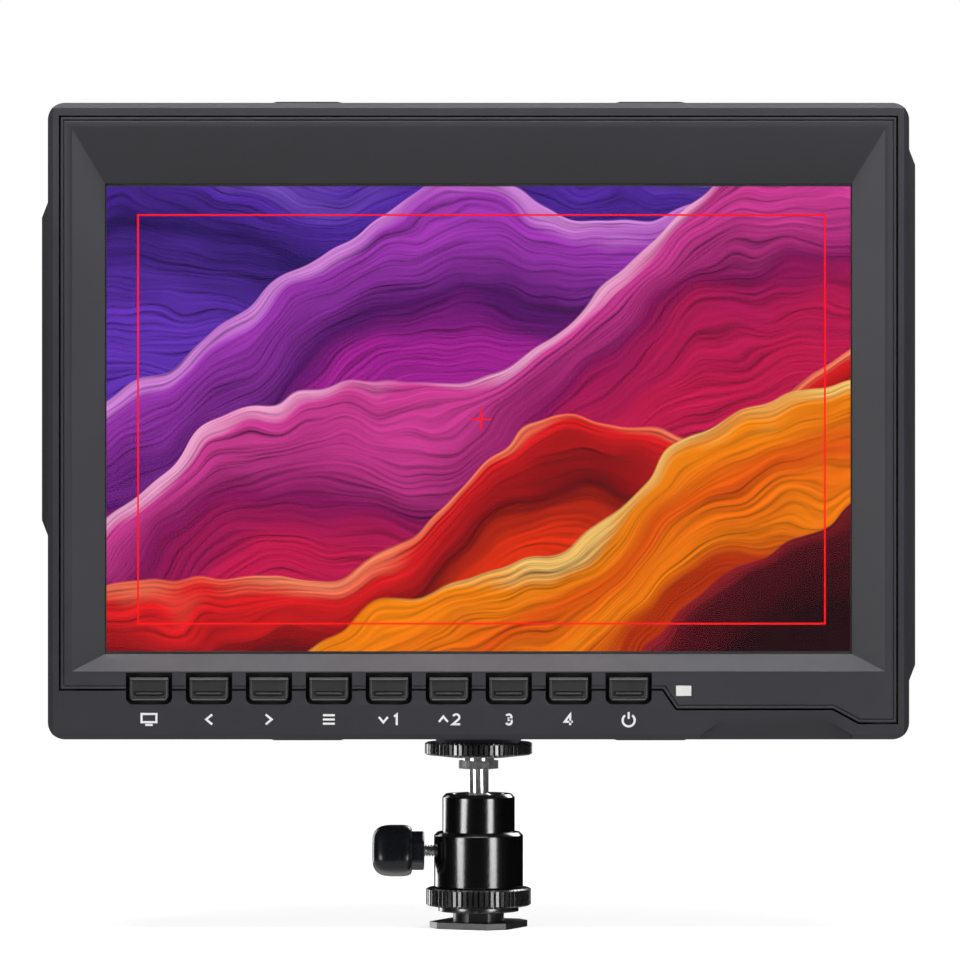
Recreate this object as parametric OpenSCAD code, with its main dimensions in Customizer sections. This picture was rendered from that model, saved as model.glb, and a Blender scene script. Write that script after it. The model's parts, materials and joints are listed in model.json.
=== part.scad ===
/* [Casing] */
// Width of the casing
body_w = 174; // [170:1:186]
// Height of the casing
body_h = 128.6; // [126:0.2:138]
// Depth of the casing without the battery plate
body_d = 25; // [25:0.5:30]
// Depth of the front shell
frame_d = 15; // [15:0.25:16]
// Distance from the stud's axis to the front face
stud_to_front = 15.5; // [15.5:0.25:16.5]
// Radius of the casing's corners
corner_r = 3.5; // [2:0.25:4]
// Wall of both shells
wall = 2; // [1.8:0.1:2.2]
// Chamfer round the front edge
front_chamfer = 1.1; // [0.6:0.1:1.4]
// Chamfer round the back edge
back_chamfer = 1.5; // [0.8:0.1:2]
// Thickness of the front face, and of the bezel panel that lies flush in it
face_t = 2.5; // [2.3:0.1:2.7]

/* [Screen and bezel] */
// Width of the casing beside the screen window
side_margin = 11.4; // [11:0.1:17]
// Height of the casing above the screen window
top_margin = 16.2; // [15.4:0.1:23]
// Height of the window above the underside of the casing
window_rise = 17.2; // [17.2:0.1:19]
// Depth of the sloped faces round the window
slope_d = 4.2; // [3.6:0.1:4.4]
// Width of the sloped faces at the sides
side_slope = 6.4; // [4:0.1:6.8]
// Width of the sloped face at the top
top_slope = 10.7; // [6:0.1:11]
// Width of the sloped face at the bottom
low_slope = 3.4; // [2.4:0.1:3.4]
// Width of the rim beside the bezel panel
rim_w = 2.3; // [2.1:0.05:2.8]
// Width of the rim above the bezel panel
rim_top = 2.65; // [2.4:0.05:3.4]
// Groove between the rim and the bezel panel
seam_gap = 0.4; // [0.3:0.05:0.7]
// Height of the lower band below the bezel panel
band_h = 9.85; // [9.4:0.05:10.6]
// Thickness of the screen glass
glass_t = 1.1; // [0.7:0.1:1.3]
// Thickness of the display panel
lcd_t = 1.6; // [1.2:0.1:1.8]
// Thickness of the light panel
light_t = 2.2; // [1.6:0.1:2.4]

/* [Buttons] */
// Distance from one button to the next
button_pitch = 12.1; // [11.6:0.1:12.4]
// Distance from the casing's left side to the first button
first_button = 20.5; // [17:0.1:21]
// Height of the button row above the underside of the casing
button_rise = 10.3; // [10:0.05:10.6]
// Width of a button well
well_w = 9.35; // [8.8:0.05:9.8]
// Height of a button well
well_h = 6.4; // [6:0.1:6.6]
// Width of a button cap
cap_w = 7.85; // [7:0.05:8]
// Height of a button cap
cap_h = 4.75; // [4.2:0.05:4.9]
// Travel of a button
button_travel = 0.6; // [0.3:0.05:0.7]

/* [Ports] */
// Width of the raised strips on the sides
strip_w = 8; // [7.6:0.1:8.2]
// How far the strips stand out of the sides
strip_proud = 2.3; // [1.6:0.05:2.6]
// Thickness of the main board
board_t = 1.6; // [1.2:0.1:1.6]

/* [Battery plate] */
// Width of the battery plate
plate_w = 46; // [46:0.5:54]
// Height of the battery plate
plate_h = 86; // [86:0.5:90]
// Thickness of the battery plate
plate_t = 3; // [2.6:0.1:3.6]
// Height of the plate above the underside of the casing
plate_rise = 22; // [18:0.5:24]
// Clear width between the plate's rails
bay_w = 38.6; // [38.4:0.1:39]
// Height of the rails above the plate
rail_h = 4.6; // [4.4:0.1:5.4]
// Travel of the battery latch
latch_travel = 1.8; // [1.2:0.1:1.9]

/* [Ball head] */
// Radius of the ball
ball_r = 6; // [5.7:0.05:6]
// Height of the ball's centre above the foot
ball_z = 21.8; // [21.6:0.1:22.2]
// Diameter of the stem between ball and hexagon
stem_d = 4.1; // [3.6:0.1:4.4]
// Diameter of the head's lower body
head_d = 18.2; // [17.6:0.1:20]
// Diameter of the head's upper collar
collar_d = 14.8; // [14.4:0.1:15.4]
// Diameter of the top wheel
top_wheel_d = 22; // [20:0.2:26]
// Thickness of the top wheel's knurled rim
top_wheel_t = 2.75; // [2.2:0.05:3]
// Diameter of the lower lock wheel
lock_wheel_d = 21.5; // [19:0.1:25]
// Thickness of the lower lock wheel
lock_wheel_t = 3.7; // [3:0.1:3.9]
// Number of knurls on the top wheel
top_knurls = 68; // [40:4:80]
// Number of knurls on the lock wheel
lock_knurls = 60; // [36:4:72]
// Width of the lock knob across its flats
knob_w = 10; // [9:0.2:11]
// Length of the lock knob
knob_l = 8.1; // [7:0.1:9]

/* [Shoe foot] */
// Width of the square foot plate
foot_w = 17; // [16:0.2:18.4]
// Thickness of the foot plate
foot_t = 1.3; // [1.2:0.05:1.5]
// Chamfer of the foot plate's corners
foot_chamfer = 3; // [2:0.1:3.6]
// Turn of the foot about the post
foot_turn = -23.8; // [-45:0.1:45]
// Diameter of the riser between foot and washer
riser_d = 10.4; // [9.6:0.1:11]
// Open slot between the foot plate and the clamp washer
slot_h = 2; // [1.6:0.05:2.1]
// Diameter of the clamp washer
washer_d = 16.4; // [15:0.1:18]
// Travel of the clamp washer
clamp_travel = 0.8; // [0.4:0.05:0.9]

/* [Hidden] */
$fn = 48;
eps = 0.5;
// Number of buttons, each of them a sub-part
button_count = 9;
// Quarter inch thread of the stud and the post
stud_d = 6.35;
// Clearance between pieces that slide or turn on each other
run = 0.05;
// Clearance between pieces that are laid in each other
fit = 0.1;

// Heights on the ball head
washer_t = 1;
washer_z = foot_t + slot_h;
riser_top = washer_z + 0.6;
riser_flats = riser_d - 0.6;
lock_wheel_z = washer_z + washer_t + fit;
lock_wheel_top = lock_wheel_z + lock_wheel_t;
head_z = lock_wheel_top + 0.3;
plug_t = 3.4;
plug_top = head_z + plug_t;
post_top = plug_top - 0.4;
seat_z = plug_top + fit;
seat_top = ball_z - 3.4;
shoulder_z = ball_z - 2.3;
collar_top = ball_z + 5.5;
lip_z = ball_z + 3.7;
mouth_r = ball_r - 0.4;
bore_r = ball_r + 2 * run;
head_bevel = 0.7;
hex_z = ball_z + 10.6;
hex_t = 1.7;
hex_af = 7;
top_travel = 0.5;
cone_z = hex_z + hex_t + top_travel + fit;
cone_t = 0.4;
top_wheel_z = cone_z + cone_t;
pad_t = 0.8;
pad_d = 15;
boss_z = top_wheel_z + top_wheel_t + run;
stud_top = boss_z + 7.6;
knurl_depth = 0.35;
wheel_bevel = 0.5;
thread_gap = 0.05;

// Lock knob, its screw and the pad that the screw pushes
knob_z = ball_z - 6.2;
screw_d = 2.5;
screw_bore = screw_d + 2 * run;
groove_in = ball_r - 1.1;
groove_half = 1.2;
pad_tip = groove_in + 0.15;
pad_full = ball_r + 0.15;
pad_end = ball_r + 1.4;
hex_collar_l = 2.5;
hex_collar_af = 7.1;
knob_r = knob_w * 0.58;
knob_turn = 15;
screw_hold = 4;
shaft_show = 2;
collar_x = head_d / 2 + shaft_show;
knob_x = collar_x + hex_collar_l;

// Casing
boss_h = 1.1;
boss_w = 18;
boss_slope = 1.05;
socket_flange = 28;
socket_flange_t = 2;
socket_d = 11.6;
insert_d = 9;
insert_l = 9;
body_z = boss_z + boss_h;
body_top = body_z + body_h;
mid_z = body_z + body_h / 2;
front_y = -stud_to_front;
back_y = front_y + body_d;
split_y = front_y + frame_d;
face_y = front_y + face_t;
inner_w = body_w - 2 * wall;
inner_h = body_h - 2 * wall;
inner_r = corner_r - 1.5;
lip_t = 0.9;
lip_d = 1.5;
ledge_t = 1.2;
ledge_w = 3.2;

// Screen stack behind the window
window_w = body_w - 2 * side_margin;
window_h = body_h - window_rise - top_margin;
window_z = body_z + window_rise;
window_mid = window_z + window_h / 2;
glass_y = front_y + slope_d;
collar_t = 1.2;
glass_over = 1.4;
lcd_y = glass_y + glass_t + fit;
light_y = lcd_y + lcd_t + fit;
tray_t = 0.6;
tray_y = light_y + light_t + fit;
lcd_over = 2.4;
lcd_w = window_w + 2 * lcd_over;
lcd_h = window_h + 2 * lcd_over;

// Lower edge of the bezel panel, from left to right, and the fine line inside its edge
last_button = -body_w / 2 + first_button + (button_count - 1) * button_pitch;
panel_x = body_w / 2 - rim_w - seam_gap;
panel_top = body_top - rim_top - seam_gap;
panel_z1 = body_z + band_h + seam_gap;
panel_z2 = panel_z1 - 3.95;
panel_z3 = panel_z2 - 2.8;
step_x1 = last_button + 7;
step_x2 = step_x1 + 2.7;
step_x4 = body_w / 2 - 10.2;
step_x3 = step_x4 - 5.2;
line_in = 0.42;
line_w = 0.3;
line_d = 0.3;

// Sloped facet low on the right of the band
scoop_x1 = body_w / 2 - 42.3;
scoop_x2 = scoop_x1 + 4.4;
scoop_x4 = body_w / 2 - 11.5;
scoop_x3 = scoop_x4 - 5.1;
scoop_rise = 3.8;
scoop_d = 0.9;

// Lugs for a clip-on hood on the top and bottom edges, each from its left end
lug_in = 5;
lug_back = 2;
top_lug_x = [-40.9, 28.6];
top_lug_w = 12.3;
top_lug_h = 0.47;
low_lug_x = [-41.4, 28.1];
low_lug_w = 13.5;
low_lug_h = 0.35;

// Ribs along the floor of the front shell, each from its left side
rib_x = [-58, -28, 26];
rib_w = 2;
rib_h = 7;

// Keys
button_z = body_z + button_rise;
well_r = 1.4;
cap_r = 1;
cap_drop = 0.1;
cap_proud = 0.2;
mat_t = 0.8;
mat_edge = 1.2;
flange_t = 0.8;
flange_w = 0.5;
plunger_l = 1.1;
actuator_l = 0.5;
switch_t = 1.75;
key_board_t = 1;
mat_y = face_y;
flange_y = mat_y + mat_t + fit;
plunger_y = flange_y + flange_t;
actuator_y = plunger_y + plunger_l + button_travel + run;
switch_y = actuator_y + actuator_l;
key_board_y = switch_y + switch_t;
key_board_z = body_z + wall + fit;
key_board_top = min(window_mid - lcd_h / 2 - tray_t, button_z + 3.4) - 0.4;
light_x = last_button + 11.1;
light_w = 3.1;
light_h = 2.06;
light_z = button_z - 0.45;

// Main board and what stands on it
board_y = split_y - 0.4;
board_back = board_y + board_t;
board_z = body_z + 23;
board_h = 84;
board_w = body_w - 10;
post_d = 6;
board_post_x = board_w / 2 - 16;
board_screw_d = 2;
strip_mid = board_back + 3.1;
strip_in = 1;
strip_ramp = 6;
socket_front = body_w / 2 - 0.8;
port_step = 22;
video_w = 15;
video_h = 5.6;
video_l = 11.5;
video_deep = 9;
video_tongue = [7.5, 1.2, 11.2];
video_in_z = body_top - 36.6;
video_out_z = video_in_z - port_step;
video_mid = board_back + video_h / 2;
phone_w = 6;
phone_h = 5;
phone_l = 12;
phone_nose_d = 4.8;
phone_bore_d = 3.6;
phone_z = video_out_z - 20;
phone_mid = board_back + phone_h / 2;
power_w = 8;
power_h = 6.4;
power_l = 12;
power_d = 5.5;
power_deep = 9;
power_pin_d = 2;
power_z = body_top - 34.6;
power_mid = board_back + power_h / 2;
data_w = 9;
data_h = 3.2;
data_l = 8;
data_deep = 6.5;
data_tongue = [5.5, 0.7, 6.4];
data_z = power_z - port_step;
data_mid = board_back + data_h / 2;
left_rise = [38.2, body_h - 16.6];
right_rise = [8.6, body_h - 5.8];

// Case screws
case_screw_d = 2.5;
case_screw_x = body_w / 2 - 5.4;
case_screw_in = 5.6;
case_head_d = 4.8;
case_head_t = 1.6;
case_head_y = back_y - 2.1;
boss_end = split_y - lip_d - fit;

// Battery plate
plate_z = body_z + plate_rise;
plate_y = back_y;
plate_face = plate_y + plate_t;
rail_w = 3;
rail_l = 72;
lip_over = 1.1;
stop_t = 4;
contact_w = 14;
contact_t = 3.5;
plate_screw_d = 2;
plate_head_d = 4;
plate_head_t = 1.3;
plate_post_d = 5;
plate_post_l = 3.5;
latch_w = 14;
latch_h = 6;
latch_z = plate_z + 79.3;
latch_proud = 1.6;
latch_flange = 1.4;
latch_flange_t = 1.7;
cup_wall = 1.2;
cup_floor_y = plate_y - wall - latch_travel - 2.2;
lead_z = plate_z + stop_t + 2.7;
lead_x = 4;
lead_d = 1.4;
plate_screw_x = 14;
plate_screw_low = 11;
plate_screw_high = 69;
contact_x = [-5, 0, 5];
contact_h = 3.6;
contact_base = 2.2;
contact_slot = 2;
blade_t = 0.8;
latch_edge = 0.5;
latch_step = 0.3;

// Flexible cables
flex_t = 0.3;
panel_cable_x = 8;
panel_cable_w = 24;
panel_cable_rise = 12;
key_cable_x = -24;
key_cable_w = 10;
flex_tail = 6;

// Parts on the main board: middle along X, middle above the casing's underside, width, height, thickness
chips = [
    [0, 57, 16, 16, 1.2],
    [26, 61, 10, 13, 1],
    [26, 45, 10, 13, 1],
    [-34, 35, 7, 7, 2.8],
    [-44, 35, 7, 7, 2.8],
    [-30, 53, 6, 5, 0.9]
];

// A drawing in X and Z, extruded from y0 to y1
module along_y(y0, y1) {
    translate([0, y1, 0])
    rotate([90, 0, 0])
    linear_extrude(y1 - y0)
    children();
}

// A drawing in Y and Z, extruded from x0 to x1
module along_x(x0, x1) {
    translate([x0, 0, 0])
    rotate([90, 0, 90])
    linear_extrude(x1 - x0)
    children();
}

// A drawing in X and Y, extruded from z0 to z1
module along_z(z0, z1) {
    translate([0, 0, z0])
    linear_extrude(z1 - z0)
    children();
}

// A box given by its lowest and highest corner
module block(low, high) {
    translate(low)
    cube(high - low);
}

// A round bar along Y
module bar_y(x, z, d, y0, y1) {
    along_y(y0, y1)
    translate([x, z])
    circle(d = d);
}

// A rectangle with round corners about its middle
module rounded(w, h, r) {
    square([w - 2 * r, h], center = true);
    square([w, h - 2 * r], center = true);
    for (x = [-1, 1], z = [-1, 1])
        translate([x * (w / 2 - r), z * (h / 2 - r)])
        circle(r);
}

// A rectangle with two round lower corners and square upper ones
module low_rounded(w, h, r) {
    translate([-w / 2, -h / 2 + r])
    square([w, h - r]);
    translate([-w / 2 + r, -h / 2])
    square([w - 2 * r, h]);
    for (x = [-1, 1])
        translate([x * (w / 2 - r), -h / 2 + r])
        circle(r);
}

// Outline of a knurled rim: straight teeth on a circle
function knurl_points(r, n) = [
    for (i = [0 : 2 * n - 1])
        let (a = 180 * i / n, q = r - (i % 2) * knurl_depth)
        [q * cos(a), q * sin(a)]
];

// A knurled wheel with a plain bevel at both ends
module knurled_wheel(d, n, z0, z1) {
    r = d / 2;
    shoulder_r = r - knurl_depth - run;
    along_z(z0 + wheel_bevel, z1 - wheel_bevel)
    polygon(knurl_points(r, n));
    translate([0, 0, z0])
    cylinder(r1 = shoulder_r - wheel_bevel, r2 = shoulder_r, h = wheel_bevel);
    translate([0, 0, z1 - wheel_bevel])
    cylinder(r1 = shoulder_r, r2 = shoulder_r - wheel_bevel, h = wheel_bevel);
}

// The casing's side view: a strip of the given width with chamfered front and back
function strip_points(w) = [
    [-w / 2, front_y + front_chamfer], [-w / 2 + front_chamfer, front_y],
    [w / 2 - front_chamfer, front_y], [w / 2, front_y + front_chamfer],
    [w / 2, back_y - back_chamfer], [w / 2 - back_chamfer, back_y],
    [-w / 2 + back_chamfer, back_y], [-w / 2, back_y - back_chamfer]
];

// The whole outside of the casing as one solid
module casing_solid() {
    intersection() {
        along_y(front_y, back_y)
        translate([0, mid_z])
        rounded(body_w, body_h, corner_r);
        along_z(body_z, body_top)
        polygon(strip_points(body_w));
        along_x(-body_w / 2, body_w / 2)
        polygon([for (p = strip_points(body_h)) [p[1], p[0] + mid_z]]);
    }
}

// The casing's hollow between two depths
module casing_hollow(y0, y1) {
    along_y(y0, y1)
    translate([0, mid_z])
    rounded(inner_w, inner_h, inner_r);
}

// Outline of the bezel panel, grown by g towards the rim
function corner_shift(dx, dz) = tan(atan2(dz, dx) / 2);
function panel_points(g) =
    let (
        s1 = g * corner_shift(step_x2 - step_x1, panel_z1 - panel_z2),
        s2 = g * corner_shift(step_x4 - step_x3, panel_z2 - panel_z3)
    )
    [
        [-panel_x - g, panel_top + g], [panel_x + g, panel_top + g],
        [panel_x + g, panel_z3 - g], [step_x4 - s2, panel_z3 - g],
        [step_x3 - s2, panel_z2 - g], [step_x2 - s1, panel_z2 - g],
        [step_x1 - s1, panel_z1 - g], [-panel_x - g, panel_z1 - g]
    ];

// The four mitred sloped faces round the window as a solid, grown by g
module window_funnel(g) {
    y0 = front_y - slope_d / 4;
    k = 1.25;
    half = window_w / 2 + g;
    low = window_z - g;
    high = window_z + window_h + g;
    intersection() {
        along_z(low - low_slope * k - 1, high + top_slope * k + 1)
        polygon([
            [-half - side_slope * k, y0], [half + side_slope * k, y0],
            [half, glass_y], [half, glass_y + eps], [-half, glass_y + eps], [-half, glass_y]
        ]);
        along_x(-half - side_slope * k - 1, half + side_slope * k + 1)
        polygon([
            [y0, low - low_slope * k], [y0, high + top_slope * k],
            [glass_y, high], [glass_y + eps, high], [glass_y + eps, low], [glass_y, low]
        ]);
    }
}

function button_x(i) = -body_w / 2 + first_button + i * button_pitch;

// All button wells, cut from y0 to y1
module wells(y0, y1) {
    for (i = [0 : button_count - 1])
        along_y(y0, y1)
        translate([button_x(i), button_z])
        low_rounded(well_w, well_h, well_r);
}

// The four places of the case screws
module at_case_screws() {
    for (x = [-1, 1], z = [body_z + case_screw_in, body_top - case_screw_in])
        translate([x * case_screw_x, 0, z])
        children();
}

// The hole that the socket block passes through in both shells
module socket_hole() {
    block([-boss_w / 2 - fit, -boss_w / 2 - fit, body_z - eps],
          [boss_w / 2 + fit, boss_w / 2 + fit, body_z + wall + eps]);
}

// A low lug on the top or the bottom edge, for a clip-on hood
module edge_lug(x, w, proud, ramp0, ramp1) {
    polygon([[x - ramp0, -eps], [x - ramp0, 0], [x, proud], [x + w, proud],
             [x + w + ramp1, 0], [x + w + ramp1, -eps]]);
}

module front_frame() {
    color([0.22, 0.215, 0.235])
    difference() {
        union() {
            difference() {
                casing_solid();
                casing_hollow(face_y, back_y + eps);
                block([-body_w, split_y, body_z - 1], [body_w, back_y + 1, body_top + 1]);
            }
            difference() {
                casing_hollow(face_y, face_y + ledge_t);
                block([-body_w / 2 + wall + ledge_w, face_y - eps, body_z - 1],
                      [body_w / 2 - wall - ledge_w, face_y + ledge_t + eps,
                       body_top - wall - ledge_w]);
            }
            at_case_screws()
            bar_y(0, 0, post_d, face_y - eps, boss_end);
            for (x = rib_x)
                block([x, key_board_y + key_board_t, body_z + wall - eps],
                      [x + rib_w, split_y - lip_d - fit, body_z + wall + rib_h]);
            translate([0, 0, body_top])
            along_y(front_y + lug_in, split_y - lug_back)
            for (x = top_lug_x)
                edge_lug(x, top_lug_w, top_lug_h, 1.6, 2.3);
            translate([0, 0, body_z])
            mirror([0, 0, 1])
            along_y(front_y + lug_in, split_y - lug_back)
            for (x = low_lug_x)
                edge_lug(x, low_lug_w, low_lug_h, 1.2, 1.2);
        }
        along_y(front_y - eps, face_y)
        polygon(panel_points(seam_gap));
        wells(front_y - eps, face_y);
        socket_hole();
        at_case_screws()
        bar_y(0, 0, case_screw_d + fit, face_y + 1, boss_end + eps);
        scoop();
    }
}

// The sloped facet low on the right of the band
module scoop() {
    intersection() {
        along_y(front_y - eps, front_y + scoop_d + eps)
        polygon([[scoop_x1, body_z - eps], [scoop_x1, body_z + scoop_d],
                 [scoop_x2, body_z + scoop_rise], [scoop_x3, body_z + scoop_rise],
                 [scoop_x4, body_z + scoop_d], [scoop_x4, body_z - eps]]);
        along_x(scoop_x1 - eps, scoop_x4 + eps)
        polygon([[front_y - eps, body_z + scoop_rise], [front_y, body_z + scoop_rise],
                 [front_y + scoop_d, body_z + scoop_d], [front_y + scoop_d, body_z - eps],
                 [front_y - eps, body_z - eps]]);
    }
}

module bezel_panel() {
    color([0.235, 0.23, 0.25])
    difference() {
        union() {
            along_y(front_y, face_y)
            polygon(panel_points(0));
            intersection() {
                window_funnel(collar_t);
                along_y(face_y - eps, glass_y)
                translate([0, mid_z])
                square([body_w, body_h], center = true);
            }
        }
        window_funnel(0);
        along_y(front_y - eps, front_y + line_d)
        difference() {
            polygon(panel_points(-line_in));
            polygon(panel_points(-line_in - line_w));
        }
        wells(front_y - eps, face_y + eps);
        along_y(front_y - eps, face_y + eps)
        translate([light_x, light_z])
        square([light_w + 2 * fit, light_h + 2 * fit], center = true);
    }
}

module screen_glass() {
    color([0.03, 0.03, 0.035])
    along_y(glass_y, glass_y + glass_t)
    translate([0, window_mid])
    rounded(window_w + 2 * glass_over, window_h + 2 * glass_over, 1);
}

module lcd_panel() {
    color([0.75, 0.25, 0.2])
    along_y(lcd_y, lcd_y + lcd_t)
    translate([0, window_mid])
    square([lcd_w, lcd_h], center = true);
}

module light_panel() {
    color([0.93, 0.94, 0.96])
    along_y(light_y, light_y + light_t)
    translate([0, window_mid])
    square([lcd_w, lcd_h], center = true);
}

module panel_tray() {
    in_w = lcd_w + 2 * fit;
    in_h = lcd_h + 2 * fit;
    color([0.7, 0.72, 0.74])
    difference() {
        along_y(lcd_y, tray_y + tray_t)
        translate([0, window_mid])
        rounded(in_w + 2 * tray_t, in_h + 2 * tray_t, 1);
        along_y(lcd_y - eps, tray_y)
        translate([0, window_mid])
        square([in_w, in_h], center = true);
    }
}

module key_mat() {
    x0 = button_x(0) - well_w / 2 - mat_edge;
    x1 = button_x(button_count - 1) + well_w / 2 + mat_edge;
    color([0.04, 0.04, 0.045])
    difference() {
        block([x0, mat_y, button_z - well_h / 2 - mat_edge],
              [x1, mat_y + mat_t, button_z + well_h / 2 + 0.5]);
        for (i = [0 : button_count - 1])
            along_y(mat_y - eps, mat_y + mat_t + eps)
            translate([button_x(i), button_z - cap_drop])
            low_rounded(cap_w + 2 * fit, cap_h + 2 * fit, cap_r);
    }
}

// One button cap with its flange and plunger, at place i of the row
module button(i) {
    color([0.2, 0.2, 0.215])
    translate([button_x(i), 0, button_z - cap_drop])
    difference() {
        union() {
            along_y(front_y - cap_proud, flange_y + flange_t)
            low_rounded(cap_w, cap_h, cap_r);
            along_y(flange_y, flange_y + flange_t)
            square([cap_w + 2 * flange_w, cap_h + 2 * flange_w], center = true);
            bar_y(0, 0, 3, plunger_y - run, plunger_y + plunger_l);
        }
        along_y(front_y - cap_proud - eps, front_y - cap_proud + 0.3)
        translate([0, -0.9])
        square([cap_w * 0.75, 0.8], center = true);
    }
}

module input_button() button(0);
module left_button() button(1);
module right_button() button(2);
module menu_button() button(3);
module down_button() button(4);
module up_button() button(5);
module preset_3_button() button(6);
module preset_4_button() button(7);
module power_button() button(8);

module status_light() {
    color([0.92, 0.95, 0.9])
    translate([light_x, 0, light_z]) {
        along_y(front_y - run, key_board_y)
        square([light_w, light_h], center = true);
        along_y(face_y + run, face_y + 1)
        square([light_w + 1.4, light_h + 1.4], center = true);
    }
}

module key_board() {
    color([0.1, 0.3, 0.16])
    block([button_x(0) - 6, key_board_y, key_board_z],
          [light_x + 3.5, key_board_y + key_board_t, key_board_top]);
}

module key_switches() {
    color([0.12, 0.12, 0.12])
    for (i = [0 : button_count - 1])
        translate([button_x(i), 0, button_z - cap_drop]) {
            along_y(switch_y, key_board_y)
            square([4.5, 4.5], center = true);
            bar_y(0, 0, 2.2, actuator_y, switch_y + run);
        }
}

// The four standoffs of the main board
module at_board_posts() {
    for (x = [-1, 1], z = [board_z + 4, board_z + board_h - 4])
        translate([x * board_post_x, 0, z])
        children();
}

module main_board() {
    color([0.08, 0.26, 0.13])
    difference() {
        block([-board_w / 2, board_y, board_z], [board_w / 2, board_back, board_z + board_h]);
        at_board_posts()
        bar_y(0, 0, board_screw_d + 2 * fit, board_y - eps, board_back + eps);
    }
}

module board_chips() {
    color([0.07, 0.07, 0.075])
    for (c = chips)
        translate([c[0], board_back, body_z + c[1]])
        block([-c[2] / 2, 0, -c[3] / 2], [c[2] / 2, c[4], c[3] / 2]);
}

module heat_sink() {
    s = 30;
    fins = 8;
    y0 = board_back + chips[0][4];
    base_t = 1.4;
    fin_t = 1;
    fin_h = min(3.4, back_y - wall - y0 - base_t - 0.6);
    z = body_z + chips[0][1];
    color([0.62, 0.64, 0.66])
    translate([chips[0][0], y0, z]) {
        block([-s / 2, 0, -s / 2], [s / 2, base_t, s / 2]);
        for (i = [0 : fins - 1])
            translate([-s / 2 + i * (s - fin_t) / (fins - 1), base_t, -s / 2])
            cube([fin_t, fin_h, s]);
    }
}

// A flat video socket with its shell and tongue, its mouth towards +X
module video_socket(z) {
    shell = 0.5;
    translate([socket_front, video_mid, z])
    difference() {
        block([-video_l, -video_h / 2, -video_w / 2], [0, video_h / 2, video_w / 2]);
        difference() {
            block([-video_deep, -video_h / 2 + shell, -video_w / 2 + shell],
                  [eps, video_h / 2 - shell, video_w / 2 - shell]);
            block([-video_deep - eps, -video_tongue[1] / 2, -video_tongue[2] / 2],
                  [-video_deep + video_tongue[0], video_tongue[1] / 2, video_tongue[2] / 2]);
        }
    }
}

module video_input() {
    color([0.66, 0.67, 0.68])
    video_socket(video_in_z);
}

module video_output() {
    color([0.66, 0.67, 0.68])
    video_socket(video_out_z);
}

module headphone_socket() {
    color([0.06, 0.06, 0.065])
    translate([inner_w / 2, phone_mid, phone_z])
    difference() {
        union() {
            block([-phone_l, -phone_h / 2, -phone_w / 2], [-fit, phone_h / 2, phone_w / 2]);
            rotate([0, 90, 0])
            translate([0, 0, -1])
            cylinder(d = phone_nose_d, h = socket_front - inner_w / 2 + 1);
        }
        rotate([0, 90, 0])
        translate([0, 0, 2 - phone_l])
        cylinder(d = phone_bore_d, h = phone_l + wall);
    }
}

module power_socket() {
    color([0.06, 0.06, 0.065])
    translate([-inner_w / 2, power_mid, power_z]) {
        difference() {
            block([fit, -power_h / 2, -power_w / 2], [power_l, power_h / 2, power_w / 2]);
            along_x(-eps, power_deep)
            circle(d = power_d);
        }
        along_x(1, power_deep + eps)
        circle(d = power_pin_d);
    }
}

module data_socket() {
    shell = 0.35;
    end_r = data_h / 2 - 0.1;
    color([0.68, 0.69, 0.7])
    translate([-socket_front, data_mid, data_z])
    difference() {
        along_x(0, data_l)
        rounded(data_h, data_w, end_r);
        difference() {
            along_x(-eps, data_deep)
            rounded(data_h - 2 * shell, data_w - 2 * shell, end_r - shell);
            block([data_deep - data_tongue[0], -data_tongue[1] / 2, -data_tongue[2] / 2],
                  [data_deep + eps, data_tongue[1] / 2, data_tongue[2] / 2]);
        }
    }
}

// A flat flexible cable in the YZ plane, through the corners of a path
module flex_run(y0, z0, y1, z1) {
    translate([min(y0, y1), min(z0, z1)])
    square([abs(y1 - y0) + flex_t, abs(z1 - z0) + flex_t]);
}

module panel_cable() {
    back = tray_y + tray_t;
    z0 = board_z + panel_cable_rise;
    z1 = z0 + flex_tail;
    color([0.75, 0.5, 0.2])
    along_x(panel_cable_x, panel_cable_x + panel_cable_w) {
        flex_run(back, z0, back, z1);
        flex_run(back, z1, board_y - flex_t, z1);
        flex_run(board_y - flex_t, z1, board_y - flex_t, z1 + flex_tail);
    }
}

module key_cable() {
    back = key_board_y + key_board_t;
    z0 = key_board_z + 2;
    y1 = board_y - 1.8;
    z1 = board_z + 3;
    color([0.75, 0.5, 0.2])
    along_x(key_cable_x, key_cable_x + key_cable_w) {
        flex_run(back, z0, back, z0 + 5);
        flex_run(back, z0 + 5, y1, z0 + 5);
        flex_run(y1, z0 + 5, y1, z1);
        flex_run(y1, z1, board_y - flex_t, z1);
        flex_run(board_y - flex_t, z1, board_y - flex_t, z1 + 5);
    }
}

module battery_lead() {
    color([0.6, 0.08, 0.06])
    for (x = [-lead_x, lead_x])
        bar_y(x, lead_z, lead_d, board_back, plate_face);
}

// The recess that a port strip lies in, and the strip's own solid
module strip_shape(side, rise0, rise1, proud, grow) {
    x0 = body_w / 2 - strip_in;
    x1 = body_w / 2;
    scale([side, 1, 1])
    along_y(strip_mid - strip_w / 2 - grow, strip_mid + strip_w / 2 + grow)
    polygon([
        [x0, body_z + rise0 - grow], [x1, body_z + rise0 - grow],
        [x1 + proud, body_z + rise0 + strip_ramp], [x1 + proud, body_z + rise1 - strip_ramp],
        [x1, body_z + rise1 + grow], [x0, body_z + rise1 + grow]
    ]);
}

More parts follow.
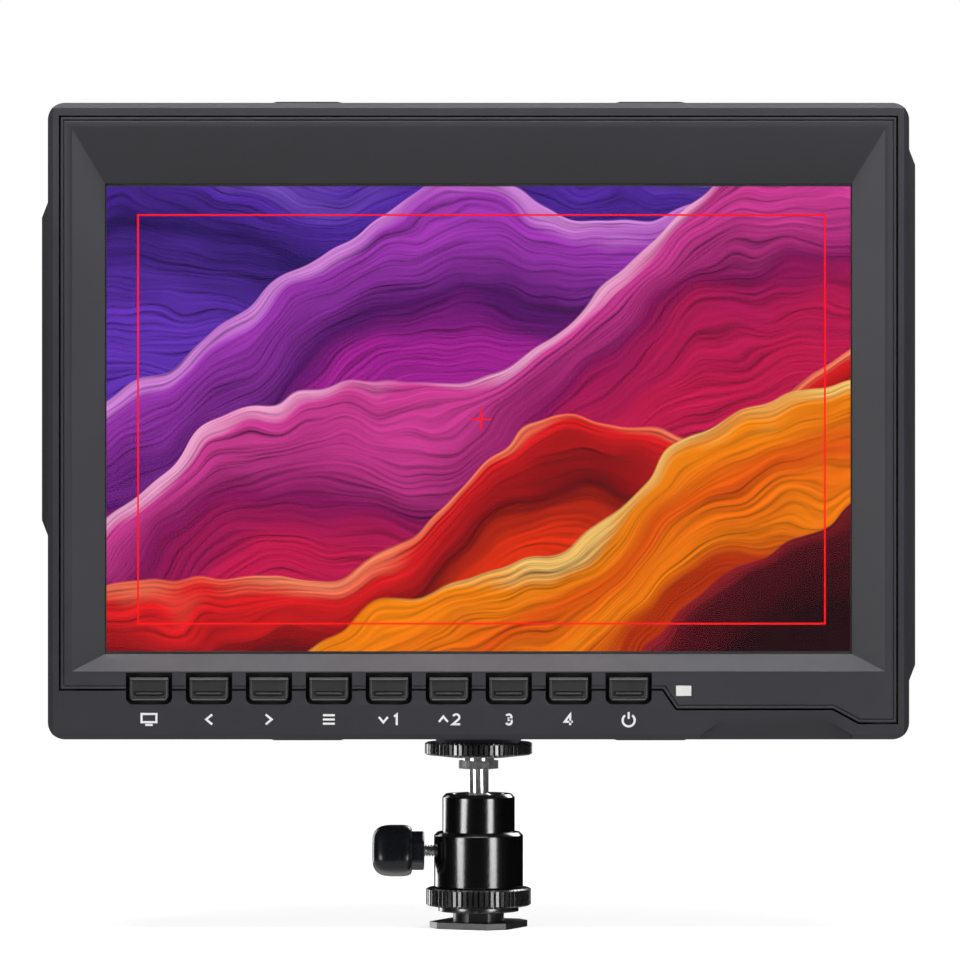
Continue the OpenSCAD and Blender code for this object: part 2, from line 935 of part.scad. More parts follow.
// The holes for the plugs in both side walls and strips, grown by g
module port_holes(g) {
    far = body_w / 2 + strip_proud + 1;
    for (z = [video_in_z, video_out_z])
        block([inner_w / 2 - eps, video_mid - video_h / 2 - g, z - video_w / 2 - g],
              [far, video_mid + video_h / 2 + g, z + video_w / 2 + g]);
    translate([0, phone_mid, phone_z])
    along_x(inner_w / 2 - eps, far)
    circle(d = phone_nose_d + 2 * g);
    translate([0, power_mid, power_z])
    along_x(-far, -inner_w / 2 + eps)
    circle(d = power_d + 2 * g);
    translate([0, data_mid, data_z])
    along_x(-far, -inner_w / 2 + eps)
    rounded(data_h + 2 * g, data_w + 2 * g, data_h / 2 - 0.1 + g);
}

module left_port_strip() {
    color([0.16, 0.16, 0.17])
    difference() {
        strip_shape(-1, left_rise[0], left_rise[1], strip_proud, 0);
        port_holes(2 * fit);
    }
}

module right_port_strip() {
    color([0.16, 0.16, 0.17])
    difference() {
        strip_shape(1, right_rise[0], right_rise[1], strip_proud, 0);
        port_holes(2 * fit);
    }
}

// Vent slots beside the battery plate
module vents() {
    for (side = [-1, 1], i = [0 : 7])
        along_y(back_y - wall - eps, back_y + eps)
        translate([side * (plate_w / 2 + 10 + i * 4), body_top - 30])
        rounded(1.8, 22, 0.8);
}

module rear_cover() {
    cup_w = latch_w + 2 * latch_flange + 2 * fit;
    cup_h = latch_h + 2 * latch_flange + 2 * fit;
    color([0.2, 0.195, 0.21])
    difference() {
        union() {
            difference() {
                casing_solid();
                casing_hollow(front_y - eps, back_y - wall);
                block([-body_w, front_y - 1, body_z - 1], [body_w, split_y, body_top + 1]);
            }
            difference() {
                along_y(split_y - lip_d, split_y + eps)
                translate([0, mid_z])
                rounded(inner_w - 2 * fit, inner_h - 2 * fit, inner_r);
                along_y(split_y - lip_d - eps, split_y + 2 * eps)
                translate([0, mid_z])
                rounded(inner_w - 2 * lip_t, inner_h - 2 * lip_t, inner_r);
                block([-socket_flange / 2 - fit, -body_d, body_z],
                      [socket_flange / 2 + fit, body_d, body_z + wall + socket_flange_t + 1]);
            }
            at_case_screws()
            bar_y(0, 0, post_d, boss_end, back_y - wall + eps);
            at_board_posts()
            bar_y(0, 0, post_d, board_back, back_y - wall + eps);
            at_plate_screws()
            bar_y(0, 0, plate_post_d, back_y - wall - plate_post_l, back_y - wall + eps);
            block([-cup_w / 2 - cup_wall, cup_floor_y - cup_wall, latch_z - cup_h / 2 - cup_wall],
                  [cup_w / 2 + cup_wall, back_y - wall + eps, latch_z + cup_h / 2 + cup_wall]);
        }
        block([-cup_w / 2, cup_floor_y, latch_z - cup_h / 2],
              [cup_w / 2, back_y + eps, latch_z + cup_h / 2]);
        socket_hole();
        at_case_screws() {
            bar_y(0, 0, case_screw_d + fit, boss_end - eps, back_y);
            bar_y(0, 0, case_head_d + 2 * fit, case_head_y - case_head_t, back_y + eps);
        }
        at_board_posts()
        bar_y(0, 0, board_screw_d + fit, board_back - eps, back_y - wall);
        at_plate_screws()
        bar_y(0, 0, plate_screw_d + fit, back_y - wall - plate_post_l - eps, back_y + eps);
        for (x = [-lead_x, lead_x])
            bar_y(x, lead_z, lead_d + 4 * fit, back_y - wall - eps, back_y + eps);
        strip_shape(-1, left_rise[0], left_rise[1], 0, 0);
        strip_shape(1, right_rise[0], right_rise[1], 0, 0);
        port_holes(2 * fit);
        vents();
    }
}

module socket_block() {
    half = boss_w / 2;
    low = half - boss_slope;
    color([0.22, 0.215, 0.235])
    difference() {
        union() {
            intersection() {
                along_y(-half, half)
                polygon([[-low, boss_z], [low, boss_z], [half, body_z], [half, body_z + wall],
                         [-half, body_z + wall], [-half, body_z]]);
                along_x(-half, half)
                polygon([[-low, boss_z], [low, boss_z], [half, body_z], [half, body_z + wall],
                         [-half, body_z + wall], [-half, body_z]]);
            }
            block([-socket_flange / 2, -socket_d / 2, body_z + wall],
                  [socket_flange / 2, socket_d / 2, body_z + wall + socket_flange_t]);
            along_z(body_z + wall, body_z + insert_l + 0.5)
            circle(d = socket_d);
        }
        along_z(boss_z - eps, body_z + insert_l + 1)
        circle(d = insert_d);
    }
}

module threaded_insert() {
    color([0.78, 0.62, 0.32])
    difference() {
        along_z(boss_z + fit, body_z + insert_l)
        circle(d = insert_d);
        along_z(boss_z - eps, body_z + insert_l + 1)
        circle(d = stud_d + 2 * thread_gap);
    }
}

// The four places of the battery plate's screws
module at_plate_screws() {
    for (x = [-1, 1], z = [plate_screw_low, plate_screw_high])
        translate([x * plate_screw_x, 0, plate_z + z])
        children();
}

module battery_plate() {
    rail_z = plate_z + 1;
    color([0.07, 0.07, 0.075])
    difference() {
        union() {
            along_y(plate_y, plate_face)
            translate([0, plate_z + plate_h / 2])
            rounded(plate_w, plate_h, 2);
            for (side = [-1, 1])
                scale([side, 1, 1]) {
                    block([bay_w / 2, plate_face - eps, rail_z],
                          [bay_w / 2 + rail_w, plate_face + rail_h, rail_z + rail_l]);
                    block([bay_w / 2 - lip_over, plate_face + rail_h - 1.2, rail_z],
                          [bay_w / 2 + eps, plate_face + rail_h, rail_z + rail_l]);
                }
            block([-bay_w / 2 - eps, plate_face - eps, rail_z],
                  [bay_w / 2 + eps, plate_face + rail_h, rail_z + stop_t - 1]);
        }
        block([-latch_w / 2 - fit, plate_y - eps, latch_z - latch_h / 2 - fit],
              [latch_w / 2 + fit, plate_face + eps, latch_z + latch_h / 2 + fit]);
        at_plate_screws() {
            bar_y(0, 0, plate_screw_d + fit, plate_y - eps, plate_face + eps);
            bar_y(0, 0, plate_head_d + 2 * fit, plate_face - plate_head_t - fit, plate_face + eps);
        }
        for (x = [-lead_x, lead_x])
            bar_y(x, lead_z, lead_d + 4 * fit, plate_y - eps, plate_face + eps);
    }
}

module battery_contacts() {
    z0 = plate_z + stop_t;
    color([0.72, 0.6, 0.35]) {
        difference() {
            block([-contact_w / 2, plate_face, z0],
                  [contact_w / 2, plate_face + contact_h, z0 + contact_base]);
            for (x = contact_x)
                block([x - contact_slot / 2, plate_face + 1, z0 + 1.2],
                      [x + contact_slot / 2, plate_face + contact_h + eps,
                       z0 + contact_base + eps]);
        }
        for (x = contact_x)
            block([x - blade_t / 2, plate_face + 1, z0 + 1],
                  [x + blade_t / 2, plate_face + contact_h - 2 * fit, z0 + contact_t]);
    }
}

module battery_latch() {
    tip = plate_face + latch_proud;
    color([0.1, 0.1, 0.105])
    translate([0, 0, latch_z]) {
        block([-latch_w / 2 - latch_flange, plate_y - run - latch_flange_t,
               -latch_h / 2 - latch_flange],
              [latch_w / 2 + latch_flange, plate_y - run, latch_h / 2 + latch_flange]);
        along_x(-latch_w / 2, latch_w / 2)
        polygon([[plate_y - 1, -latch_h / 2], [tip, -latch_h / 2], [tip, -latch_edge],
                 [plate_face + latch_step, latch_h / 2], [plate_y - 1, latch_h / 2]]);
    }
}

module latch_spring() {
    y1 = plate_y - run - latch_flange_t;
    color([0.75, 0.76, 0.77])
    difference() {
        bar_y(0, latch_z, 6, cup_floor_y, y1);
        bar_y(0, latch_z, 4.8, cup_floor_y - eps, y1 + eps);
    }
}

module case_screws() {
    color([0.3, 0.3, 0.31])
    at_case_screws()
    difference() {
        union() {
            bar_y(0, 0, case_head_d, case_head_y - case_head_t, case_head_y);
            bar_y(0, 0, case_screw_d, boss_end - 5, case_head_y - 1);
        }
        translate([0, case_head_y + eps, 0])
        rotate([90, 0, 0])
        cylinder(d = 2.2, h = 1.4, $fn = 6);
    }
}

module board_screws() {
    color([0.7, 0.71, 0.72])
    at_board_posts() {
        bar_y(0, 0, 3.8, board_y - 1.2, board_y);
        bar_y(0, 0, board_screw_d, board_y - run, board_back + 4);
    }
}

module plate_screws() {
    color([0.3, 0.3, 0.31])
    at_plate_screws() {
        bar_y(0, 0, plate_head_d, plate_face - plate_head_t - fit, plate_face - fit);
        bar_y(0, 0, plate_screw_d, plate_y - wall - plate_post_l + fit, plate_face - 1);
    }
}

module shoe_foot() {
    c = foot_w / 2 - foot_chamfer;
    h = foot_w / 2;
    color([0.05, 0.05, 0.055]) {
        along_z(0, foot_t)
        rotate(foot_turn)
        polygon([[-c, -h], [c, -h], [h, -c], [h, c], [c, h], [-c, h], [-h, c], [-h, -c]]);
        along_z(foot_t - run, riser_top)
        intersection() {
            circle(d = riser_d);
            square([riser_d, riser_flats], center = true);
        }
        along_z(riser_top - run, post_top)
        circle(d = stud_d);
    }
}

module clamp_washer() {
    color([0.05, 0.05, 0.055])
    along_z(washer_z, washer_z + washer_t)
    difference() {
        circle(d = washer_d);
        intersection() {
            circle(d = riser_d + 2 * fit);
            square([riser_d + 1, riser_flats + 2 * fit], center = true);
        }
    }
}

module lock_wheel() {
    color([0.05, 0.05, 0.055])
    difference() {
        knurled_wheel(lock_wheel_d, lock_knurls, lock_wheel_z, lock_wheel_top);
        along_z(lock_wheel_z - eps, lock_wheel_top + eps)
        circle(d = stud_d + 2 * thread_gap);
        along_z(lock_wheel_z - eps, riser_top + clamp_travel + fit)
        circle(d = riser_d + 4 * fit);
    }
}

module head_housing() {
    r0 = head_d / 2;
    r1 = collar_d / 2;
    color([0.03, 0.03, 0.035])
    difference() {
        rotate_extrude()
        polygon([[0, head_z], [r0, head_z], [r0, shoulder_z - head_bevel],
                 [r0 - head_bevel, shoulder_z], [r1, shoulder_z],
                 [r1, collar_top - head_bevel], [r1 - head_bevel, collar_top],
                 [0, collar_top]]);
        along_z(head_z - eps, ball_z)
        circle(bore_r);
        translate([0, 0, ball_z])
        sphere(bore_r);
        translate([0, 0, lip_z - 0.1])
        cylinder(r1 = mouth_r - 0.9, r2 = mouth_r + 0.1, h = collar_top - lip_z + 0.2);
        translate([0, 0, knob_z])
        rotate([0, -90, 0])
        cylinder(d = screw_bore, h = head_d);
    }
}

module housing_plug() {
    color([0.72, 0.6, 0.35])
    along_z(head_z, plug_top)
    difference() {
        circle(bore_r);
        circle(d = stud_d + 2 * thread_gap);
    }
}

module ball_seat() {
    color([0.85, 0.84, 0.8])
    difference() {
        rotate_extrude()
        polygon([[0, seat_z], [ball_r, seat_z], [ball_r, knob_z - groove_half],
                 [groove_in, knob_z], [ball_r, knob_z + groove_half],
                 [ball_r, seat_top], [0, seat_top]]);
        translate([0, 0, ball_z])
        sphere(ball_r + run);
    }
}

module ball_stem() {
    color([0.75, 0.76, 0.78]) {
        translate([0, 0, ball_z])
        sphere(ball_r);
        along_z(ball_z, hex_z + run)
        circle(d = stem_d);
        translate([0, 0, hex_z])
        cylinder(d = hex_af / cos(30), h = hex_t, $fn = 6);
        along_z(hex_z + hex_t - run, stud_top)
        circle(d = stud_d);
    }
}

module top_wheel() {
    pad_z = boss_z - pad_t;
    color([0.05, 0.05, 0.055])
    difference() {
        union() {
            knurled_wheel(top_wheel_d, top_knurls, top_wheel_z, top_wheel_z + top_wheel_t);
            translate([0, 0, cone_z])
            cylinder(r1 = top_wheel_d / 4, r2 = top_wheel_d / 2 - 1.2, h = cone_t + run);
        }
        along_z(cone_z - eps, boss_z)
        circle(d = stud_d + 2 * thread_gap);
        along_z(pad_z, boss_z)
        circle(d = pad_d + 2 * fit);
    }
}

module top_pad() {
    color([0.09, 0.09, 0.095])
    along_z(boss_z - pad_t, boss_z)
    difference() {
        circle(d = pad_d);
        circle(d = stud_d + 4 * fit);
    }
}

// Rounded square section of the lock knob, turned as in use
module knob_section() {
    rotate(knob_turn)
    rounded(knob_w, knob_w, 2.2);
}

module lock_knob() {
    r = knob_r;
    color([0.07, 0.07, 0.075])
    translate([0, 0, knob_z])
    rotate([0, -90, 0])
    difference() {
        union() {
            intersection() {
                along_z(knob_x, knob_x + knob_l)
                knob_section();
                rotate_extrude()
                polygon([[0, knob_x], [r - 1.8, knob_x], [r, knob_x + 1.6],
                         [r, knob_x + knob_l - 2.6], [r - 0.9, knob_x + knob_l - 0.9],
                         [r - 2.6, knob_x + knob_l], [0, knob_x + knob_l]]);
            }
            translate([0, 0, collar_x])
            cylinder(d = hex_collar_af / cos(30), h = hex_collar_l + run, $fn = 6);
        }
        along_z(collar_x - eps, knob_x + screw_hold)
        circle(d = screw_d);
    }
}

module knob_screw() {
    color([0.75, 0.76, 0.78])
    translate([0, 0, knob_z])
    rotate([0, -90, 0])
    along_z(pad_end + fit, knob_x + screw_hold)
    circle(d = screw_d);
}

module clamp_pad() {
    color([0.78, 0.62, 0.32])
    translate([0, 0, knob_z])
    rotate([0, -90, 0]) {
        translate([0, 0, pad_tip])
        cylinder(r1 = 0.1, r2 = screw_d / 2 - 0.1, h = pad_full - pad_tip);
        along_z(pad_full - run, pad_end)
        circle(d = screw_d - 0.2);
    }
}

shoe_foot();
clamp_washer();
lock_wheel();
head_housing();
housing_plug();
ball_seat();
ball_stem();
top_wheel();
top_pad();
lock_knob();
knob_screw();
clamp_pad();
front_frame();
bezel_panel();
screen_glass();
lcd_panel();
light_panel();
panel_tray();
key_mat();
input_button();
left_button();
right_button();
menu_button();
down_button();
up_button();
preset_3_button();
preset_4_button();
power_button();
status_light();
key_board();
key_switches();
main_board();
board_chips();
heat_sink();
video_input();
video_output();
headphone_socket();
power_socket();
data_socket();
panel_cable();
key_cable();
battery_lead();
rear_cover();
left_port_strip();
right_port_strip();
socket_block();
threaded_insert();
battery_plate();
battery_contacts();
battery_latch();
latch_spring();
case_screws();
board_screws();
plate_screws();
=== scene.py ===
# %% [markdown]
# # A field monitor on a small ball head
# This lesson dresses a finished CAD model of a camera field monitor. The solids are exact, so
# the work here is the surface of things: grain in moulded plastic, the shine of black metal,
# a lit picture behind glass, printed marks, and the small shapes a solid model leaves out.
# First the CAD model is loaded, and everything that is made later is fixed to one of its bodies.

# %% The CAD model
import json
import math

import bmesh
import bpy
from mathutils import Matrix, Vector


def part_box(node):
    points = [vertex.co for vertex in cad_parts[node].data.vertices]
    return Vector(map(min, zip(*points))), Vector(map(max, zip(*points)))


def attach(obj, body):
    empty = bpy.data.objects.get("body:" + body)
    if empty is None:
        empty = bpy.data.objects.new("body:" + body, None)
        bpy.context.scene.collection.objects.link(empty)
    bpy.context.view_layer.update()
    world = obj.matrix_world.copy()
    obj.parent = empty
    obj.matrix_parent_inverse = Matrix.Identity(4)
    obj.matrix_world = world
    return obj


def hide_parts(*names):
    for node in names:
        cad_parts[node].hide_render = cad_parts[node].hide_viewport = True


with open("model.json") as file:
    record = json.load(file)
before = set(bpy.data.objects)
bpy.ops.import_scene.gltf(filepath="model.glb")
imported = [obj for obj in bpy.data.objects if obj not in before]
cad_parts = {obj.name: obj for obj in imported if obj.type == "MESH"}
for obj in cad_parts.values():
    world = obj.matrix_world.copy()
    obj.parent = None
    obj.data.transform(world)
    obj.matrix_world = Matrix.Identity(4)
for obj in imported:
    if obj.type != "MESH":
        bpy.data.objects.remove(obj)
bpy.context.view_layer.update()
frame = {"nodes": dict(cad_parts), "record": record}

mm = 0.001


def middle(node):
    """The middle of a CAD node's box, in millimetres."""
    low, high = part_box(node)
    return [(a + b) / 2 / mm for a, b in zip(low, high)]


# %% [markdown]
# ## The camera
# The photograph looks at the screen square on, from a little above the middle of the monitor.
# A long lens from over a metre away keeps the casing's sides parallel. Its focal length follows
# from two things that are known: how far away it is, and how wide the view is at the screen.

# %% The camera
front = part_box("front_frame")[0].y
camera_distance = 1.150
camera_side, camera_height = 0.0003, 0.0914
view_width = 0.19373

lens = bpy.data.cameras.new("lens")
lens.sensor_width = 36
lens.lens = lens.sensor_width * camera_distance / view_width
camera = bpy.data.objects.new("camera", lens)
camera.location = (camera_side, front - camera_distance, camera_height)
camera.rotation_euler = (math.radians(90), 0, 0)
bpy.context.scene.collection.objects.link(camera)
bpy.context.scene.camera = camera
print("focal length in mm:", round(lens.lens, 1))

# %% [markdown]
# ## Sums in a node tree
# A finish and the world are both trees of nodes, and a tree can do sums: each Math node takes
# two values, which are numbers or what another node puts out. Written as functions, such nodes
# read like a formula. The floor, the world and the picture on the screen all use them.

# %% Helpers for node trees
def calculate(tree, way, first, second):
    """One Math node. Each value is a number or another node's output."""
    node = tree.nodes.new("ShaderNodeMath")
    node.operation = way
    for socket, value in zip(node.inputs, (first, second)):
        if isinstance(value, (int, float)):
            socket.default_value = value
        else:
            tree.links.new(value, socket)
    return node.outputs[0]


def plus(tree, first, second):
    return calculate(tree, "ADD", first, second)


def minus(tree, first, second):
    return calculate(tree, "SUBTRACT", first, second)


def times(tree, first, second):
    return calculate(tree, "MULTIPLY", first, second)


def ramp(tree, value, start, end):
    """0 at start, 1 at end, with a smooth course between."""
    node = tree.nodes.new("ShaderNodeMapRange")
    node.interpolation_type = "SMOOTHSTEP"
    node.inputs["From Min"].default_value = start
    node.inputs["From Max"].default_value = end
    tree.links.new(value, node.inputs["Value"])
    return node.outputs[0]


print("helpers for node trees:", [f.__name__ for f in (calculate, plus, minus, times, ramp)])

# %% [markdown]
# ## The floor
# A product picture like this one is taken on a white floor that runs into a white background.
# Here the floor is a disc that fades out towards its rim, where the white world takes over, so
# no horizon shows. Its own white is lit by the lamps, which keeps the shadow under the foot.
# Mirrored rays pass it by, because the world below already gives them the same white.

# %% The floor
floor_radius = 0.6
fade_start, fade_end = 0.08 * floor_radius, 0.60 * floor_radius
floor_grey, floor_glow = 0.50, 0.72


def circle(count):
    """Angles that go once round in equal steps."""
    return [2 * math.pi * k / count for k in range(count)]


def floor_finish():
    made = bpy.data.materials.new("white_floor")
    made.use_nodes = True
    tree = made.node_tree
    shader = tree.nodes["Principled BSDF"]
    shader.inputs["Base Color"].default_value = (floor_grey, floor_grey, floor_grey, 1)
    shader.inputs["Roughness"].default_value = 0.9
    shader.inputs["Specular IOR Level"].default_value = 0.1
    shader.inputs["Emission Color"].default_value = (1, 1, 1, 1)
    path = tree.nodes.new("ShaderNodeLightPath").outputs
    seen = calculate(tree, "MAXIMUM", path["Is Camera Ray"], path["Is Transmission Ray"])
    tree.links.new(times(tree, seen, floor_glow), shader.inputs["Emission Strength"])
    place = tree.nodes.new("ShaderNodeTexCoord")
    away = tree.nodes.new("ShaderNodeVectorMath")
    away.operation = "LENGTH"
    fade = tree.nodes.new("ShaderNodeMapRange")
    fade.inputs["From Min"].default_value = fade_start
    fade.inputs["From Max"].default_value = fade_end
    clear = tree.nodes.new("ShaderNodeBsdfTransparent")
    both = tree.nodes.new("ShaderNodeMixShader")
    tree.links.new(place.outputs["Object"], away.inputs[0])
    tree.links.new(away.outputs["Value"], fade.inputs["Value"])
    tree.links.new(fade.outputs[0], both.inputs["Fac"])
    tree.links.new(shader.outputs[0], both.inputs[1])
    tree.links.new(clear.outputs[0], both.inputs[2])
    tree.links.new(both.outputs[0], tree.nodes["Material Output"].inputs["Surface"])
    return made


floor_sides = 64
floor_rim = [(floor_radius * math.cos(a), floor_radius * math.sin(a), 0)
             for a in circle(floor_sides)]
floor_mesh = bpy.data.meshes.new("floor")
floor_mesh.from_pydata(floor_rim, [], [list(range(floor_sides))])
floor_mesh.materials.append(floor_finish())
floor = bpy.data.objects.new("floor", floor_mesh)
floor.visible_glossy = False
bpy.context.scene.collection.objects.link(floor)
print("floor", [round(x, 2) for x in floor.dimensions])

# %% [markdown]
# ## The background
# The world is the white background. It is white for the camera and for rays through glass. What
# polished metal mirrors matters as much as what the lamps do: photographers hang black cloth in
# front of a glossy black object, so that only their soft boxes and the background behind it are
# drawn on it. The world does the same by direction. A mirrored ray finds white behind the object
# to the left, a softer white below, and near black in front.

# %% The background
card_direction = (-0.643, 0.766, 0)
card_edge, card_full = 0.955, 0.985
below_edge, below_full = -0.12, -0.35
below_white = 0.5
fill_light, fill_mirrored = 0.12, 0.006

world = bpy.data.worlds.new("studio")
world.use_nodes = True
bpy.context.scene.world = world
tree = world.node_tree
sky = tree.nodes["Background"]
rays = tree.nodes.new("ShaderNodeLightPath").outputs
heading = tree.nodes.new("ShaderNodeTexCoord").outputs["Generated"]
towards = tree.nodes.new("ShaderNodeVectorMath")
towards.operation = "DOT_PRODUCT"
towards.inputs[1].default_value = card_direction
tree.links.new(heading, towards.inputs[0])
upward = tree.nodes.new("ShaderNodeSeparateXYZ")
tree.links.new(heading, upward.inputs[0])
card = ramp(tree, towards.outputs["Value"], card_edge, card_full)
below = times(tree, below_white, ramp(tree, upward.outputs["Z"], below_edge, below_full))
white_places = calculate(tree, "MAXIMUM", card, below)
mirrored = times(tree, rays["Is Glossy Ray"], white_places)
fill = tree.nodes.new("ShaderNodeMapRange")
fill.inputs["To Min"].default_value = fill_light
fill.inputs["To Max"].default_value = fill_mirrored
tree.links.new(rays["Is Glossy Ray"], fill.inputs["Value"])
strength = calculate(tree, "MAXIMUM", rays["Is Camera Ray"], rays["Is Transmission Ray"])
strength = calculate(tree, "MAXIMUM", strength, mirrored)
strength = calculate(tree, "MAXIMUM", strength, fill.outputs[0])
tree.links.new(strength, sky.inputs["Strength"])
sky.inputs["Color"].default_value = (1, 1, 1, 1)
bpy.context.scene.view_settings.view_transform = "Standard"
print("world nodes:", len(tree.nodes))

# %% [markdown]
# ## The lamps
# Two upright soft boxes stand left and right of the camera. They light the front a little, and
# draw the two pale stripes down the ball head. Most light comes from a long narrow box close
# above, just in front of the casing: it lets the front fade from top to bottom and makes every
# face that looks up a good deal paler than one that looks down. Two more light the back.

# %% The lamps
def soft_box(name, place, target, width, height, radiance):
    light = bpy.data.lights.new(name, "AREA")
    light.shape = "RECTANGLE"
    light.size, light.size_y = width, height
    light.energy = math.pi * width * height * radiance
    lamp = bpy.data.objects.new(name, light)
    lamp.location = place
    lamp.rotation_euler = (Vector(target) - Vector(place)).to_track_quat("-Z", "Y").to_euler()
    lamp.visible_camera = False
    bpy.context.scene.collection.objects.link(lamp)
    return lamp


soft_box("left_box", (-0.74, -0.67, 0.06), (0, 0, 0.03), 0.30, 0.28, 8.0)
soft_box("right_box", (0.62, -0.79, 0.06), (0, 0, 0.03), 0.30, 0.28, 8.0)
soft_box("top_box", (0, -0.115, 0.40), (0, -0.015, 0.09), 0.50, 0.10, 13.0)
soft_box("back_card", (-0.58, 0.69, 0.16), (0, 0, 0.06), 0.28, 0.70, 3.5)
soft_box("back_box", (0.45, 0.75, 0.60), (0, 0, 0.09), 0.50, 0.50, 7.0)


# %% [markdown]
# ## How a finish is made
# Every finish here starts from Blender's Principled shader and a few noise patterns placed by
# the object's own coordinates, so they have a size in millimetres and don't slide or stretch.
# One pattern varies the colour a little, one the roughness, and one gives the fine relief that
# catches light. Four small helpers keep each finish down to a handful of lines.

# %% Helpers for finishes
noise_low, noise_high = 0.3, 0.7  # nearly all values of a noise pattern lie between these


def new_finish(name, colour, rough, metallic=0.0, ior=1.45):
    made = bpy.data.materials.new(name)
    made.use_nodes = True
    shader = made.node_tree.nodes["Principled BSDF"]
    shader.inputs["Base Color"].default_value = (*colour, 1)
    shader.inputs["Roughness"].default_value = rough
    shader.inputs["Metallic"].default_value = metallic
    shader.inputs["IOR"].default_value = ior
    made.diffuse_color = (*colour, 1)
    return made, made.node_tree, shader


def pattern(tree, size_mm, kind="ShaderNodeTexNoise", stretch=(1, 1, 1), detail=3.0):
    """A pattern whose features are about size_mm wide, placed by the object's coordinates."""
    place = tree.nodes.new("ShaderNodeTexCoord")
    scale = tree.nodes.new("ShaderNodeMapping")
    scale.inputs["Scale"].default_value = [s / (size_mm * mm) for s in stretch]
    texture = tree.nodes.new(kind)
    texture.inputs["Scale"].default_value = 1.0
    if "Detail" in texture.inputs:
        texture.inputs["Detail"].default_value = detail
    tree.links.new(place.outputs["Object"], scale.inputs["Vector"])
    tree.links.new(scale.outputs["Vector"], texture.inputs["Vector"])
    return texture.outputs[0]


def tones(tree, shader, value, stops):
    """Colours along a value: stops are (place, colour)."""
    scale = tree.nodes.new("ShaderNodeValToRGB")
    while len(scale.color_ramp.elements) < len(stops):
        scale.color_ramp.elements.new(0.5)
    for element, (place, colour) in zip(scale.color_ramp.elements, stops):
        element.position = place
        element.color = (*colour, 1)
    tree.links.new(value, scale.inputs["Fac"])
    if shader:
        tree.links.new(scale.outputs["Color"], shader.inputs["Base Color"])
    return scale.outputs["Color"]


def gloss(tree, shader, value, low, high):
    """Roughness that goes from low to high with a value."""
    span = tree.nodes.new("ShaderNodeMapRange")
    span.inputs["From Min"].default_value = noise_low
    span.inputs["From Max"].default_value = noise_high
    span.inputs["To Min"].default_value = low
    span.inputs["To Max"].default_value = high
    tree.links.new(value, span.inputs["Value"])
    tree.links.new(span.outputs[0], shader.inputs["Roughness"])


def relief(tree, shader, value, depth_mm, strength=1.0):
    """Small hills and hollows, depth_mm high."""
    bump = tree.nodes.new("ShaderNodeBump")
    bump.inputs["Strength"].default_value = strength
    bump.inputs["Distance"].default_value = depth_mm * mm
    tree.links.new(value, bump.inputs["Height"])
    tree.links.new(bump.outputs["Normal"], shader.inputs["Normal"])


def shade(colour, factor):
    return tuple(min(1.0, c * factor) for c in colour)


def clouded(colour, low, high):
    """Stops for tones(): a colour that a noise pattern makes darker and lighter."""
    return [(noise_low, shade(colour, low)), (noise_high, shade(colour, high))]


print("helpers for finishes:", [f.__name__ for f in (new_finish, pattern, tones, gloss, relief)])

# %% [markdown]
# ## Moulded plastic
# The casing is moulded in a tool whose walls were etched, so it has a fine, even grain and no
# shine. Caps and knob come from smoother tools. All of these are one recipe with other numbers:
# colour, how rough, how wide the grain and how deep.

# %% Plastic finishes
def moulded(name, colour, rough, grain_mm=0.25, grain_depth=0.012, cloud=0.07, ior=1.45):
    made, tree, shader = new_finish(name, colour, rough, ior=ior)
    tones(tree, shader, pattern(tree, 24), clouded(colour, 1 - cloud, 1 + cloud))
    gloss(tree, shader, pattern(tree, 3), rough - 0.05, rough + 0.05)
    relief(tree, shader, pattern(tree, grain_mm, detail=2.0), grain_depth)
    return made


# Each plastic: colour, roughness, then where needed width and depth of the grain, cloud and IOR
plastics = {
    "casing": ((0.037, 0.036, 0.043), 0.50),
    "bezel": ((0.042, 0.041, 0.048), 0.50),
    "cap_plastic": ((0.036, 0.036, 0.038), 0.38, 0.15, 0.006),
    "strip_plastic": ((0.036, 0.036, 0.039), 0.55, 0.35, 0.02),
    "plate_plastic": ((0.018, 0.018, 0.020), 0.55, 0.3, 0.018),
    "knob_plastic": ((0.010, 0.011, 0.014), 0.26, 0.5, 0.005, 0.07, 1.5),
    "nylon": ((0.72, 0.70, 0.64), 0.45, 0.4, 0.006, 0.03),
    "pad_rubber": ((0.018, 0.018, 0.019), 0.78, 0.2, 0.015),
    "diffuser": ((0.86, 0.87, 0.88), 0.4, 0.1, 0.004, 0.01),
    "light_plastic": ((0.84, 0.86, 0.82), 0.3, 0.2, 0.003, 0.02),
    "chip": ((0.016, 0.016, 0.018), 0.55, 0.15, 0.006),
    "flex": ((0.52, 0.24, 0.05), 0.35, 0.8, 0.004),
    "lead": ((0.36, 0.02, 0.015), 0.5, 0.5, 0.006),
}
finishes = {name: moulded(name, *values) for name, values in plastics.items()}
print("plastics:", sorted(finishes))


# %% [markdown]
# ## Metal
# The ball head is black anodised and polished, so its colour is nearly nothing and all that is
# seen is what it mirrors, broken up by a very fine speckle. Steel is brushed or rolled along one
# direction: the same noise, stretched a hundredfold, gives its streaks.

# %% Metal finishes
even = (1, 1, 1)  # streaks that run no way in particular


def bare_metal(name, colour, rough, streak=even, size_mm=0.4, depth=0.002, spread=0.08,
               metallic=1.0):
    made, tree, shader = new_finish(name, colour, rough, metallic=metallic)
    streaks = pattern(tree, size_mm, stretch=streak)
    tones(tree, shader, streaks, clouded(colour, 1 - spread, 1.0))
    gloss(tree, shader, streaks, max(0.03, rough - 0.06), rough + 0.06)
    relief(tree, shader, pattern(tree, size_mm / 2, stretch=streak), depth)
    return made


